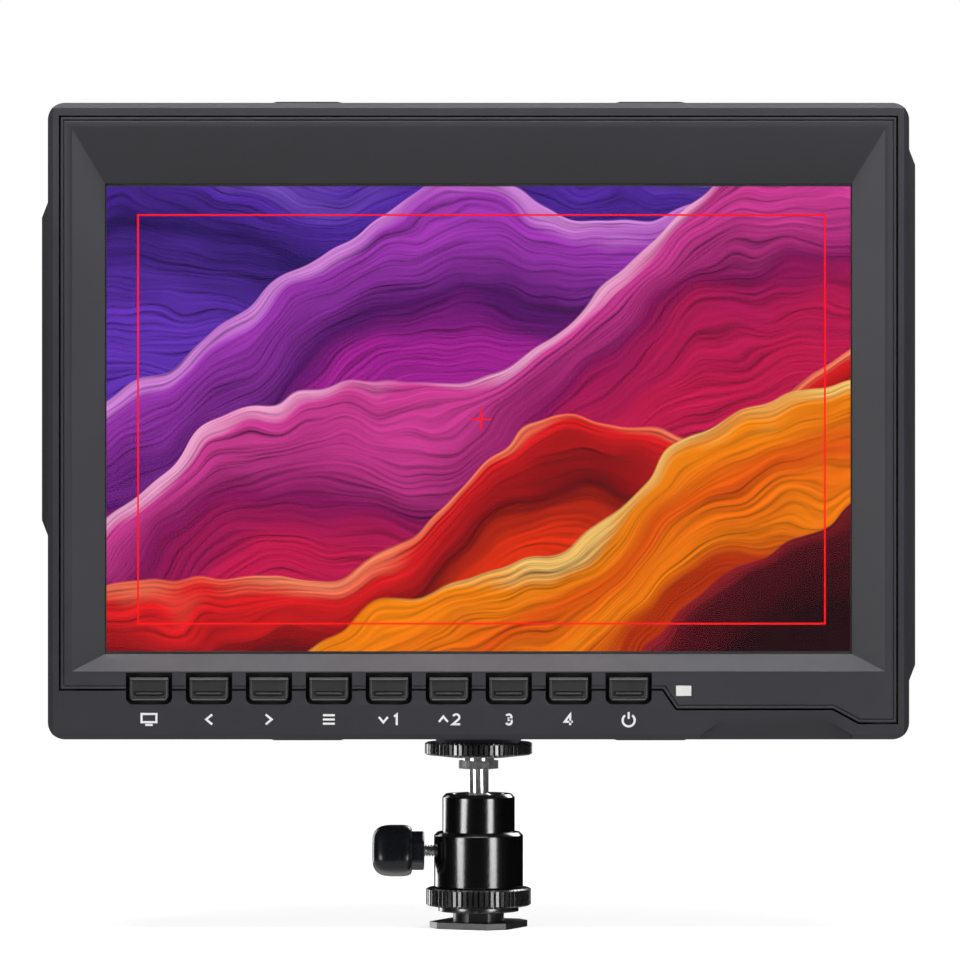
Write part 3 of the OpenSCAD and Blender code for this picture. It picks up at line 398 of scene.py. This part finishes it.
def black_metal(name, colour, rough, ior, speckle_mm, depth):
    made, tree, shader = new_finish(name, colour, rough, ior=ior)
    tones(tree, shader, pattern(tree, 6), clouded(colour, 0.8, 1.2))
    gloss(tree, shader, pattern(tree, speckle_mm), rough - 0.06, rough + 0.06)
    relief(tree, shader, pattern(tree, speckle_mm, detail=1.0), depth)
    return made


# Each black metal: colour, roughness, IOR, width and depth of the speckle
black_metals = {
    "black_metal": ((0.0015, 0.0015, 0.002), 0.17, 2.0, 0.16, 0.006),
    "wheel_metal": ((0.010, 0.010, 0.011), 0.24, 2.2, 0.15, 0.004),
    "foot_metal": ((0.012, 0.012, 0.013), 0.38, 1.9, 0.30, 0.012),
    "screw_metal": ((0.03, 0.03, 0.032), 0.35, 1.9, 0.1, 0.003),
}
# Each bare metal: colour, roughness, streak, its width, depth, spread of the tone, metallic
bare_metals = {
    "chrome_metal": ((0.86, 0.87, 0.88), 0.20, even, 2.0, 0.0006, 0.08, 0.82),
    "steel_metal": ((0.82, 0.82, 0.83), 0.26, even, 0.4, 0.002, 0.08, 0.88),
    "socket_metal": ((0.60, 0.61, 0.62), 0.3, (1, 12, 1), 0.5),
    "tray_steel": ((0.58, 0.60, 0.62), 0.35, (0.05, 1, 1), 0.3),
    "sink": ((0.55, 0.56, 0.58), 0.38, (1, 1, 0.05), 0.2),
    "brass_metal": ((0.75, 0.50, 0.20), 0.25, (1, 1, 6), 0.4),
    "contact_metal": ((0.90, 0.62, 0.25), 0.2),
}
finishes.update({name: black_metal(name, *values) for name, values in black_metals.items()})
finishes.update({name: bare_metal(name, *values) for name, values in bare_metals.items()})
print("finishes so far:", len(finishes))


# %% [markdown]
# ## Circuit board
# A board is green because of its solder mask, and copper tracks show through it as a slightly
# lighter green. Square cells of noise that are drawn out along one side pass for bundles of
# tracks, and a second layer of dots for the small joints.

# %% The circuit board finish
def board_finish():
    green = (0.012, 0.10, 0.035)
    made, tree, shader = new_finish("board", green, 0.35)
    tracks = pattern(tree, 1.6, "ShaderNodeTexVoronoi", stretch=(0.2, 1, 1))
    tones(tree, shader, tracks,
          [(0.30, shade(green, 1.9)), (0.34, green), (0.75, shade(green, 0.8))])
    gloss(tree, shader, pattern(tree, 2), 0.28, 0.4)
    relief(tree, shader, tracks, 0.02)
    return made


finishes["board"] = board_finish()
print("nodes in the board finish:", len(finishes["board"].node_tree.nodes))


# %% [markdown]
# ## The lit picture
# The screen shows folds of coloured silk that lie over each other and climb to the right:
# violet behind, then magenta, red and orange. A display makes its own light, so the picture
# goes to the emission colour. Each fold is everything below a bent line. How far a place lies
# below that line gives its shade, with a bright crest and a dark hollow, and noise that is drawn
# out along the line gives the fine threads. Nothing is loaded from a file, so the picture is as
# sharp as the render asks for.

# %% The picture finish
picture_middle = middle("lcd_panel")[2]
bend_mm = 26.0
crest_fade = (-0.15, 0.25)  # a fold's upper edge fades in over this span
# Each fold: height at the middle, climb, wave height, wave length, wave start, thickness, colours
folds = [
    (70, 0.0, 4, 90, 0.3, 70, [(0.0, (0.32, 0.17, 0.75)), (0.30, (0.09, 0.02, 0.40)),
                               (0.55, (0.02, 0.003, 0.12)), (0.8, (0.13, 0.03, 0.50))]),
    (38, 0.30, 9, 118, 2.2, 34, [(0.0, (0.75, 0.28, 0.80)), (0.16, (0.40, 0.04, 0.52)),
                                 (0.6, (0.09, 0.002, 0.14)), (0.9, (0.42, 0.01, 0.33))]),
    (15, 0.46, 8, 96, 4.6, 36, [(0.0, (0.95, 0.42, 0.68)), (0.10, (0.72, 0.05, 0.34)),
                                (0.5, (0.26, 0.002, 0.11)), (0.85, (0.62, 0.005, 0.08))]),
    (-13, 0.38, 7, 84, 0.9, 26, [(0.0, (1.0, 0.26, 0.12)), (0.12, (0.85, 0.008, 0.012)),
                                 (0.5, (0.16, 0.0, 0.002)), (0.9, (0.85, 0.03, 0.001))]),
    (-30, 0.55, 6, 70, 3.4, 34, [(0.0, (1.0, 0.62, 0.16)), (0.10, (1.0, 0.27, 0.0)),
                                 (0.45, (0.85, 0.10, 0.0)), (0.75, (1.0, 0.24, 0.0)),
                                 (1.0, (0.5, 0.03, 0.0))]),
    (-66, 0.62, 5, 60, 1.4, 30, [(0.0, (0.30, 0.01, 0.02)), (0.2, (0.08, 0.001, 0.006)),
                                 (0.7, (0.015, 0.0, 0.002))]),
]


def mix_colours(tree, way, factor, first, second):
    node = tree.nodes.new("ShaderNodeMix")
    node.data_type, node.blend_type = "RGBA", way
    if isinstance(factor, float):
        node.inputs["Factor"].default_value = factor
    else:
        tree.links.new(factor, node.inputs["Factor"])
    tree.links.new(first, node.inputs["A"])
    tree.links.new(second, node.inputs["B"])
    return node.outputs["Result"]


def noise_at(tree, parts, detail, rough=0.5):
    """Noise at a place that is put together from three values."""
    place = tree.nodes.new("ShaderNodeCombineXYZ")
    for socket, part in zip(place.inputs, parts):
        if isinstance(part, (int, float)):
            socket.default_value = part
        else:
            tree.links.new(part, socket)
    noise = tree.nodes.new("ShaderNodeTexNoise")
    noise.inputs["Scale"].default_value = 1.0
    noise.inputs["Detail"].default_value = detail
    noise.inputs["Roughness"].default_value = rough
    tree.links.new(place.outputs[0], noise.inputs["Vector"])
    return noise.outputs[0]


def fold_colour(tree, x, depth, count, thick, stops):
    """Colour of one fold by its depth below its upper line, with threads along it."""
    share = calculate(tree, "DIVIDE", depth, thick)
    slow = noise_at(tree, (times(tree, x, 0.022), times(tree, depth, 0.07), 7.0 * count), 2.0)
    share = plus(tree, share, times(tree, minus(tree, slow, 0.5), 0.7))
    colour = tones(tree, None, share, stops)
    threads = noise_at(tree, (times(tree, x, 0.03), times(tree, depth, 1.3), 11.0 * count),
                       5.0, 0.65)
    light = tones(tree, None, threads, [(0.30, (0.16, 0.12, 0.18)), (0.47, (0.74, 0.70, 0.74)),
                                        (0.62, (1.0, 1.0, 1.0))])
    return mix_colours(tree, "MULTIPLY", 1.0, colour, light)


def picture_finish():
    made, tree, shader = new_finish("display", (0.001, 0.001, 0.001), 0.3)
    shader.inputs["Specular IOR Level"].default_value = 0.0
    place = tree.nodes.new("ShaderNodeTexCoord")
    parts = tree.nodes.new("ShaderNodeSeparateXYZ")
    tree.links.new(place.outputs["Object"], parts.inputs[0])
    x = times(tree, parts.outputs["X"], 1 / mm)
    z = minus(tree, times(tree, parts.outputs["Z"], 1 / mm), picture_middle)
    bend = noise_at(tree, (times(tree, x, 0.03), 0.0, times(tree, z, 0.03)), 2.0)
    z = plus(tree, z, times(tree, minus(tree, bend, 0.5), bend_mm))
    picture = None
    for count, (height, climb, wave_h, wave_l, start, thick, stops) in enumerate(folds):
        angle = plus(tree, times(tree, x, 2 * math.pi / wave_l), start)
        swing = calculate(tree, "SINE", angle, 0)
        line = plus(tree, plus(tree, times(tree, x, climb), height), times(tree, swing, wave_h))
        depth = minus(tree, line, z)
        colour = fold_colour(tree, x, depth, count, thick, stops)
        if picture is None:
            picture = colour
        else:
            picture = mix_colours(tree, "MIX", ramp(tree, depth, *crest_fade), picture, colour)
    tree.links.new(picture, shader.inputs["Emission Color"])
    shader.inputs["Emission Strength"].default_value = 1.0
    return made


finishes["display"] = picture_finish()
print("folds in the picture:", len(folds))

# %% [markdown]
# ## Glass
# The cover glass is a clear sheet with a polished face. It lets the picture through and adds
# only a faint reflection. Because it is thin and flat, plain transmission in the Principled
# shader is enough, with a trace of unevenness so that the reflection isn't perfect. It is the
# last finish that the CAD model asks for, so every node is dressed here.

# %% The glass finish
def glass_finish():
    made, tree, shader = new_finish("cover_glass", (1.0, 1.0, 1.0), 0.02, ior=1.2)
    shader.inputs["Transmission Weight"].default_value = 1.0
    gloss(tree, shader, pattern(tree, 15), 0.002, 0.008)
    return made


finishes["cover_glass"] = glass_finish()
own_finish = {"shoe_foot": "foot_metal"}  # a node whose finish differs from its slot's
for part in frame["record"]["subparts"]:
    solid = frame["nodes"][part["node"]]
    solid.data.materials.clear()
    solid.data.materials.append(finishes[own_finish.get(part["node"], part["material_slot"])])


# %% [markdown]
# ## Softer edges
# No moulded or turned edge is truly sharp: a small radius on it catches a line of light, and
# without it a part looks like cardboard. The Bevel modifier rounds every edge that turns by more
# than a set angle, and leaves the CAD mesh below it as it was. The mesh comes in as loose
# triangles, so a Weld goes first, and Weighted Normal keeps the flat faces flat.

# %% Edges
def soften(node, radius_mm, steps=3, angle=32):
    solid = frame["nodes"][node]
    weld = solid.modifiers.new("weld", "WELD")
    weld.merge_threshold = 1e-6
    edge = solid.modifiers.new("edge", "BEVEL")
    edge.width = radius_mm * mm
    edge.segments = steps
    edge.limit_method = "ANGLE"
    edge.angle_limit = math.radians(angle)
    edge.use_clamp_overlap = True
    flat = solid.modifiers.new("flat", "WEIGHTED_NORMAL")
    flat.keep_sharp = False


soft_edges = {
    "front_frame": 0.12, "bezel_panel": 0.10, "rear_cover": 0.15, "battery_plate": 0.12,
    "left_port_strip": 0.12, "right_port_strip": 0.12, "head_housing": 0.10,
    "shoe_foot": 0.08, "ball_stem": 0.28, "battery_latch": 0.10, "socket_block": 0.10,
    "status_light": 0.05, "clamp_washer": 0.08,
}
for node, radius in soft_edges.items():
    soften(node, radius)
print("softened:", len(soft_edges))


# %% [markdown]
# ## Making a piece
# The pieces below are made in mesh code. One helper covers them all: it turns points and faces
# into an object that rides on a CAD body and takes one of the finishes by its name.


def add_piece(name, points, faces, body, finish, smooth=False):
    """A mesh from points in millimetres. It rides on a CAD body."""
    mesh = bpy.data.meshes.new(name)
    mesh.from_pydata([[c * mm for c in p] for p in points], [], faces)
    bm = bmesh.new()
    bm.from_mesh(mesh)
    bmesh.ops.recalc_face_normals(bm, faces=bm.faces)
    bm.to_mesh(mesh)
    bm.free()
    mesh.materials.append(finishes[finish])
    for face in mesh.polygons:
        face.use_smooth = smooth
    made = bpy.data.objects.new(name, mesh)
    bpy.context.scene.collection.objects.link(made)
    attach(made, body)
    return made


def stack(loops, ring=False):
    """A skin over outlines of equal length. A ring joins the last one to the first."""
    size = len(loops[0])
    pairs = [(k, k + 1) for k in range(len(loops) - 1)]
    if ring:
        pairs.append((len(loops) - 1, 0))
    faces = [[a * size + i, a * size + (i + 1) % size, b * size + (i + 1) % size, b * size + i]
             for a, b in pairs for i in range(size)]
    if not ring:
        faces += [list(range(size)), list(range((len(loops) - 1) * size, len(loops) * size))]
    return [point for loop in loops for point in loop], faces


# %% [markdown]
# ## The knurled wheels
# Both wheels are turned, and a tool then rolls upright grooves into the rim so that it grips.
# The CAD wheels have shallow teeth. Here each tooth gets a flat top and a deep groove, because
# it is the dark groove between two bright flanks that makes a rim read as knurled. A wheel is a
# closed ring of outlines: out from the bore along the bottom, up the rim and back in on top.

# %% Wheels
groove = 0.50


def wheel_outline(radius, z, teeth, cut):
    """Round the wheel at height z with three points a tooth, the first one in the groove."""
    outline = []
    for k in range(teeth):
        for share, depth in ((0.0, cut), (0.22, 0.0), (0.78, 0.0)):
            a = 2 * math.pi * (k + share) / teeth
            outline.append(((radius - depth) * math.cos(a), (radius - depth) * math.sin(a), z))
    return outline


def wheel(name, node, body, teeth, under, over):
    """A knurled wheel; under and over are the plain outlines below and above the teeth."""
    low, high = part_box(node)
    radius, z0, z1 = (high.x - low.x) / 2 / mm, low.z / mm, high.z / mm
    rim_low = z0 + under[-1][1]
    levels = [(r, z0 + up, 0) for r, up in under]
    levels += [(radius - groove, rim_low + 0.05, 0), (radius, rim_low + 0.35, groove),
               (radius, z1 - 0.25, groove), (radius - groove, z1, 0)]
    levels += [(r, z1 - down, 0) for r, down in over]
    points, faces = stack([wheel_outline(r, z, teeth, cut) for r, z, cut in levels], ring=True)
    made = add_piece(name, points, faces, body, "wheel_metal")
    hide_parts(node)
    return made


bore = 3.3
wheel("top_wheel_rim", "top_wheel", "stud_wheel", 64, [(bore, 0), (5.5, 0), (9.9, 0.5)],
      [(7.6, 0), (7.6, 0.8), (bore, 0.8)])
wheel("lock_wheel_rim", "lock_wheel", "lock_wheel_body", 60, [(5.4, 0), (10.0, 0)],
      [(bore, 0), (bore, 3.25), (5.4, 3.25)])
print("teeth of the wheels: 64 and 60, grooves", groove, "mm deep")

# %% [markdown]
# ## The knob
# The side knob is moulded in black plastic: a square grip with round corners and a domed end,
# on a hexagonal collar. Outlines that grow and shrink along the axis give the grip its form,
# and smooth shading hides the steps between them.

# %% The knob
low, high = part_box("lock_knob")
knob_end, knob_start = -low.x / mm, -high.x / mm
knob_z = middle("lock_knob")[2]
grip_start = knob_start + 2.5
grip = [(0.0, 0.74), (0.05, 0.83), (0.3, 0.92), (0.9, 0.975), (1.8, 1.0), (4.4, 1.0), (5.4, 0.985),
        (6.3, 0.945), (7.1, 0.86), (7.65, 0.74), (7.98, 0.58), (8.1, 0.36)]
knob_angles = circle(96)


def grip_radius(a, half=5.0, squareness=3.6, turned=math.radians(15)):
    """A square with round corners, turned a little. A squareness of 2 would make it a circle."""
    a -= turned
    total = abs(math.cos(a)) ** squareness + abs(math.sin(a)) ** squareness
    return half / total ** (1 / squareness)


def hexagon_radius(a, half=3.55, corner=3.97):
    """A hexagon whose corners are cut off at a radius."""
    return min(corner, half / math.cos(a % (math.pi / 3) - math.pi / 6))


def knob_outline(along, size, radius):
    return [(-along, radius(a) * size * math.sin(a), knob_z + radius(a) * size * math.cos(a))
            for a in knob_angles]


points, faces = stack([knob_outline(grip_start + along, size, grip_radius) for along, size in grip])
knob_grip = add_piece("knob_grip", points, faces, "knob", "knob_plastic", smooth=True)
collar = [(knob_start, 0.92), (knob_start + 0.25, 1.0), (grip_start + 0.1, 1.0)]
points, faces = stack([knob_outline(along, size, hexagon_radius) for along, size in collar])
knob_collar = add_piece("knob_collar", points, faces, "knob", "knob_plastic")
for made in (knob_grip, knob_collar):
    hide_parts("lock_knob")
print("knob from", round(knob_start, 2), "to", round(knob_end, 2), "mm")

# %% [markdown]
# ## The button caps
# Each cap is a small moulded block with square upper corners and round lower ones. A ledge along
# its top slopes back and catches the light from above, the face behind it is dished, and a slot
# near the lower edge holds a narrow bar. The form is a fine grid of points whose depth follows
# from where they lie on the cap. One function gives that depth, and it can be read like a plan.

# %% The shape of a cap
cap_w, cap_h, cap_corner = 7.85, 4.75, 1.0
ledge_h, ledge_d, dish_d = 0.50, 0.45, 0.16
slot_w, slot_h, slot_z, slot_d = 6.1, 0.95, -0.95, 0.34
bar_w, bar_h = 5.4, 0.46


def step(value, start, end):
    """0 before start, 1 after end, and a smooth course between."""
    t = min(1.0, max(0.0, (value - start) / (end - start)))
    return t * t * (3 - 2 * t)


def inside(x, z, w, h, edge):
    """1 well inside a rectangle w by h about the middle, 0 outside it."""
    return step(w / 2 - abs(x), -edge, edge) * step(h / 2 - abs(z), -edge, edge)


def half_width(z):
    """Half the cap's width at a height: its lower corners are round."""
    low = -cap_h / 2 + cap_corner - z
    if low <= 0:
        return cap_w / 2
    return cap_w / 2 - cap_corner + math.sqrt(max(0.0, cap_corner ** 2 - low ** 2))


def cap_depth(x, z):
    """How far a place on the cap's face lies behind its foremost plane."""
    below_top = cap_h / 2 - z
    rim = min(half_width(z) - abs(x), z + cap_h / 2)
    ledge = ledge_d * (1 - step(below_top, 0.0, ledge_h))
    dish = dish_d * step(below_top, ledge_h, ledge_h + 0.22) * step(rim, 0.12, 0.5)
    edge = 0.14 * (1 - step(rim, 0.0, 0.16))
    slot = inside(x, z - slot_z, slot_w, slot_h, 0.06) - inside(x, z - slot_z, bar_w, bar_h, 0.06)
    return ledge + dish + edge + slot_d * slot


print("deepest place of a cap in mm:", round(cap_depth(0, slot_z + slot_h / 2 - 0.12), 2))

# %% [markdown]
# ## The nine caps
# The same form is used nine times, each at its own CAD button. Its points lie in rows, closer
# together near both ends, where the edges are. The rim of that grid is carried
# back to a plane behind the front, and one face closes it there.

# %% Button caps
buttons = ["input", "left", "right", "menu", "down", "up", "preset_3", "preset_4", "power"]
columns, rows = 64, 44
crowding = 0.25  # 0 spaces the rows evenly, 1 crowds them most at both ends
cap_back = front / mm + 2.4


def cap_points(x, z, face):
    """A grid of points over the face, row by row from below, then its rim again at the back."""
    heights = [-cap_h / 2 + cap_h * (0.5 - 0.5 * math.cos(math.pi * r / rows)) * crowding
               + cap_h * r / rows * (1 - crowding) for r in range(rows + 1)]
    points = []
    for height in heights:
        half = max(half_width(height), 0.3)
        for c in range(columns + 1):
            across = half * (2 * c / columns - 1)
            points.append((x + across, face + cap_depth(across, height), z + height))
    rim = list(range(columns + 1))
    rim += [r * (columns + 1) + columns for r in range(1, rows + 1)]
    rim += [rows * (columns + 1) + c for c in range(columns - 1, -1, -1)]
    rim += [r * (columns + 1) for r in range(rows - 1, 0, -1)]
    return points + [(points[i][0], cap_back, points[i][2]) for i in rim], rim


for name in buttons:
    x, _, z = middle(name + "_button")
    points, rim = cap_points(x, z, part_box(name + "_button")[0].y / mm)
    start = len(points) - len(rim)
    faces = [[r * (columns + 1) + c, r * (columns + 1) + c + 1, (r + 1) * (columns + 1) + c + 1,
              (r + 1) * (columns + 1) + c] for r in range(rows) for c in range(columns)]
    faces += [[rim[k], rim[(k + 1) % len(rim)], start + (k + 1) % len(rim), start + k]
              for k in range(len(rim))]
    faces.append([start + k for k in range(len(rim))])
    cap = add_piece(name + "_cap", points, faces, name + "_button_cap", "cap_plastic")
    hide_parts(name + "_button")
print("caps:", len(buttons), "faces each:", len(faces))

# %% [markdown]
# ## The screen
# Between glass and display lies a black printed border, which hides the display's inactive
# edge. On the picture lie a thin red frame and a small cross, the marks by which a camera
# operator lines up a shot. All are flat strips with a little thickness, set in the gap behind
# the glass.

# %% Border and marks on the screen
finishes["black_print"] = moulded("black_print", (0.004, 0.004, 0.004), 0.5, 0.3, 0.001)


def red_mark():
    made, tree, shader = new_finish("red_mark", (0.004, 0.001, 0.001), 0.4)
    shader.inputs["Specular IOR Level"].default_value = 0.0
    tint = tones(tree, None, pattern(tree, 8), [(noise_low, (0.94, 0.004, 0.006)),
                                                (noise_high, (1.0, 0.006, 0.006))])
    tree.links.new(tint, shader.inputs["Emission Color"])
    shader.inputs["Emission Strength"].default_value = 1.0
    return made


finishes["red_mark"] = red_mark()


def bars(name, rects, y0, y1, body, finish):
    """Flat upright bars, each (x0, z0, x1, z1), from y0 back to y1."""
    points, faces = [], []
    for x0, z0, x1, z1 in rects:
        n = len(points)
        points += [(x, y, z) for y in (y0, y1) for x, z in ((x0, z0), (x1, z0), (x1, z1), (x0, z1))]
        faces += [[n + i for i in f] for f in ((0, 1, 2, 3), (7, 6, 5, 4), (0, 4, 5, 1),
                                               (1, 5, 6, 2), (2, 6, 7, 3), (3, 7, 4, 0))]
    return add_piece(name, points, faces, body, finish)


def frame_bars(x0, z0, x1, z1, t):
    """Four bars round a rectangle; x0..z1 is its outer edge."""
    return [(x0, z0, x1, z0 + t), (x0, z1 - t, x1, z1),
            (x0, z0 + t, x0 + t, z1 - t), (x1 - t, z0 + t, x1, z1 - t)]


lcd_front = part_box("lcd_panel")[0].y / mm
print_front, marks_front, marks_back = lcd_front - 0.08, lcd_front - 0.05, lcd_front - 0.03
mid_z = middle("screen_glass")[2]
half_w, half_h, border = 75.4, 47.1, 1.5
bars("screen_border", frame_bars(-half_w - border, mid_z - half_h - border, half_w + border,
                                 mid_z + half_h + border, border),
     print_front, marks_front, "monitor", "black_print")
bars("guide_frame", frame_bars(-69.2, 62.1, 70.4, 145.3, 0.36), marks_front, marks_back,
     "monitor", "red_mark")
bars("guide_cross", [(-1.6, 103.55, 2.6, 103.9), (0.32, 101.6, 0.67, 105.8)], marks_front,
     marks_back, "monitor", "red_mark")
print("screen marks at", round(lcd_front, 2), "mm")

# %% [markdown]
# ## Printed marks
# A mark in white ink under each button says what it does. The plain signs every such device
# has are used: a frame, arrows, a list, figures, and the sign for power. Each line of a sign
# is a ribbon of even width along a path, the way a pen would draw it, only a few hundredths of
# a millimetre proud of the plastic.

# %% Ribbons
finishes["white_ink"] = moulded("white_ink", (0.92, 0.92, 0.92), 0.5, 0.4, 0.002, 0.02)


def with_ends(strokes):
    """Each stroke as (path, closed)."""
    return [stroke if isinstance(stroke, tuple) else (stroke, False) for stroke in strokes]


def ribbon(path, width, closed=False):
    """Outline strip of even width along a path in the X-Z plane: left and right points."""
    count = len(path)
    left, right = [], []
    for i, p in enumerate(path):
        before = Vector(path[i - 1]) if i or closed else None
        after = Vector(path[(i + 1) % count]) if i < count - 1 or closed else None
        here = Vector(p)
        d0 = (here - before).normalized() if before is not None else (after - here).normalized()
        d1 = (after - here).normalized() if after is not None else d0
        across = Vector((-d0.y - d1.y, d0.x + d1.x)).normalized()
        stretch = width / 2 / max(0.35, across.dot(Vector((-d0.y, d0.x))))
        left.append(here + across * stretch)
        right.append(here - across * stretch)
    return left, right


def ink(name, strokes, x, z, width=0.44):
    """A printed sign: strokes are paths about its middle, or (path, True) for a closed one."""
    y0, y1 = front / mm - 0.03, front / mm + 0.02
    points, faces = [], []
    for path, closed in with_ends(strokes):
        left, right = ribbon(path, width, closed)
        n, k = len(points), len(path)
        for y in (y0, y1):
            points += [(x + p.x, y, z + p.y) for p in left]
            points += [(x + p.x, y, z + p.y) for p in right]
        for i in range(k if closed else k - 1):
            j = (i + 1) % k
            a, b, c, d = n + i, n + j, n + k + j, n + k + i
            e, f, g, h = (v + 2 * k for v in (a, b, c, d))
            faces += [[a, b, c, d], [h, g, f, e], [a, e, f, b], [d, c, g, h]]
        if not closed:
            faces += [[n, n + k, n + 3 * k, n + 2 * k],
                      [n + k - 1, n + 3 * k - 1, n + 4 * k - 1, n + 2 * k - 1]]
    return add_piece(name, points, faces, "monitor", "white_ink")


def arc(r, start, end, parts=20, x=0.0, z=0.0):
    angles = [math.radians(start + (end - start) * k / parts) for k in range(parts + 1)]
    return [(x + r * math.cos(a), z + r * math.sin(a)) for a in angles]


print("points in a full ring of 20 parts:", len(arc(1, 0, 360)))

# %% [markdown]
# The figures are drawn with the same ribbons. A one is a stem with a short flag, and the other
# three are an arc and a few straight strokes.

# %% The signs
monitor_sign = [([(-1.5, -0.55), (1.5, -0.55), (1.5, 1.1), (-1.5, 1.1)], True),
                [(-0.75, -1.1), (0.75, -1.1)]]
one = [[(-0.45, 0.55), (0.1, 1.0), (0.1, -1.15)]]
two = [arc(0.62, 160, -35, 14, 0, 0.42) + [(-0.68, -0.97), (0.8, -0.97)]]
three = [arc(0.55, 150, -90, 12, 0, 0.46) + arc(0.6, 90, -150, 12, 0, -0.42)]
four = [[(0.3, -1.15), (0.3, 1.0), (-0.8, -0.45), (0.85, -0.45)]]


def moved(strokes, dx):
    return [([(x + dx, z) for x, z in path], closed) for path, closed in with_ends(strokes)]


signs = {
    "input": monitor_sign,
    "left": [[(0.65, 1.0), (-0.55, 0.0), (0.65, -1.0)]],
    "right": [[(-0.65, 1.0), (0.55, 0.0), (-0.65, -1.0)]],
    "menu": [[(-1.2, 0.85), (1.2, 0.85)], [(-1.2, 0.0), (1.2, 0.0)], [(-1.2, -0.85), (1.2, -0.85)]],
    "down": [[(-2.0, 0.5), (-1.1, -0.6), (-0.2, 0.5)]] + moved(one, 1.5),
    "up": [[(-2.0, -0.5), (-1.1, 0.6), (-0.2, -0.5)]] + moved(two, 1.5),
    "preset_3": three,
    "preset_4": four,
    "power": [arc(1.22, 125, 415, 32, 0, -0.18), [(0, 1.5), (0, 0.1)]],
}
sign_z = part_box("front_frame")[0].z / mm + 4.43
for name in buttons:
    ink(name + "_sign", signs[name], middle(name + "_button")[0], sign_z)
print("signs at z", round(sign_z, 2), "mm")

# %% [markdown]
# ## The knob's screw
# The side knob sits on a fine steel screw, and a few turns of its thread show next to the
# head. A thread is one surface: at each place round and along the screw, the radius follows
# from how far that place is along the helix. A grid of such points gives real turns that
# start and end properly, which stacked rings would not.

# %% The threaded screw
def threaded(name, body, core, crest, pitch, x0, x1, z, finish):
    """A screw along X from x0 to x1, its thread cut between core and crest radius."""
    around, per_turn, steepness = 36, 10, 1.25
    count = int((x1 - x0) / pitch * per_turn)
    points, faces = [], []
    for k in range(count + 1):
        x = x0 + (x1 - x0) * k / count
        for i in range(around):
            share = (x / pitch - i / around) % 1.0
            rise = 1 - abs(2 * share - 1)
            end = min(1.0, min(k, count - k) / per_turn)
            r = core + (crest - core) * min(1.0, rise * steepness) * end
            a = 2 * math.pi * i / around
            points.append((x, r * math.cos(a), z + r * math.sin(a)))
    for k in range(count):
        for i in range(around):
            j = (i + 1) % around
            faces.append([k * around + i, k * around + j,
                          (k + 1) * around + j, (k + 1) * around + i])
    faces.append(list(range(around)))
    faces.append(list(range(count * around, (count + 1) * around)))
    return add_piece(name, points, faces, body, finish, smooth=True)


low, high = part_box("knob_screw")
core, crest, pitch = 0.86, 1.24, 0.56
screw = threaded("knob_thread", "knob", core, crest, pitch, low.x / mm, high.x / mm,
                 middle("knob_screw")[2], "steel_metal")
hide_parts("knob_screw")
print("screw from", round(low.x / mm, 2), "to", round(high.x / mm, 2))
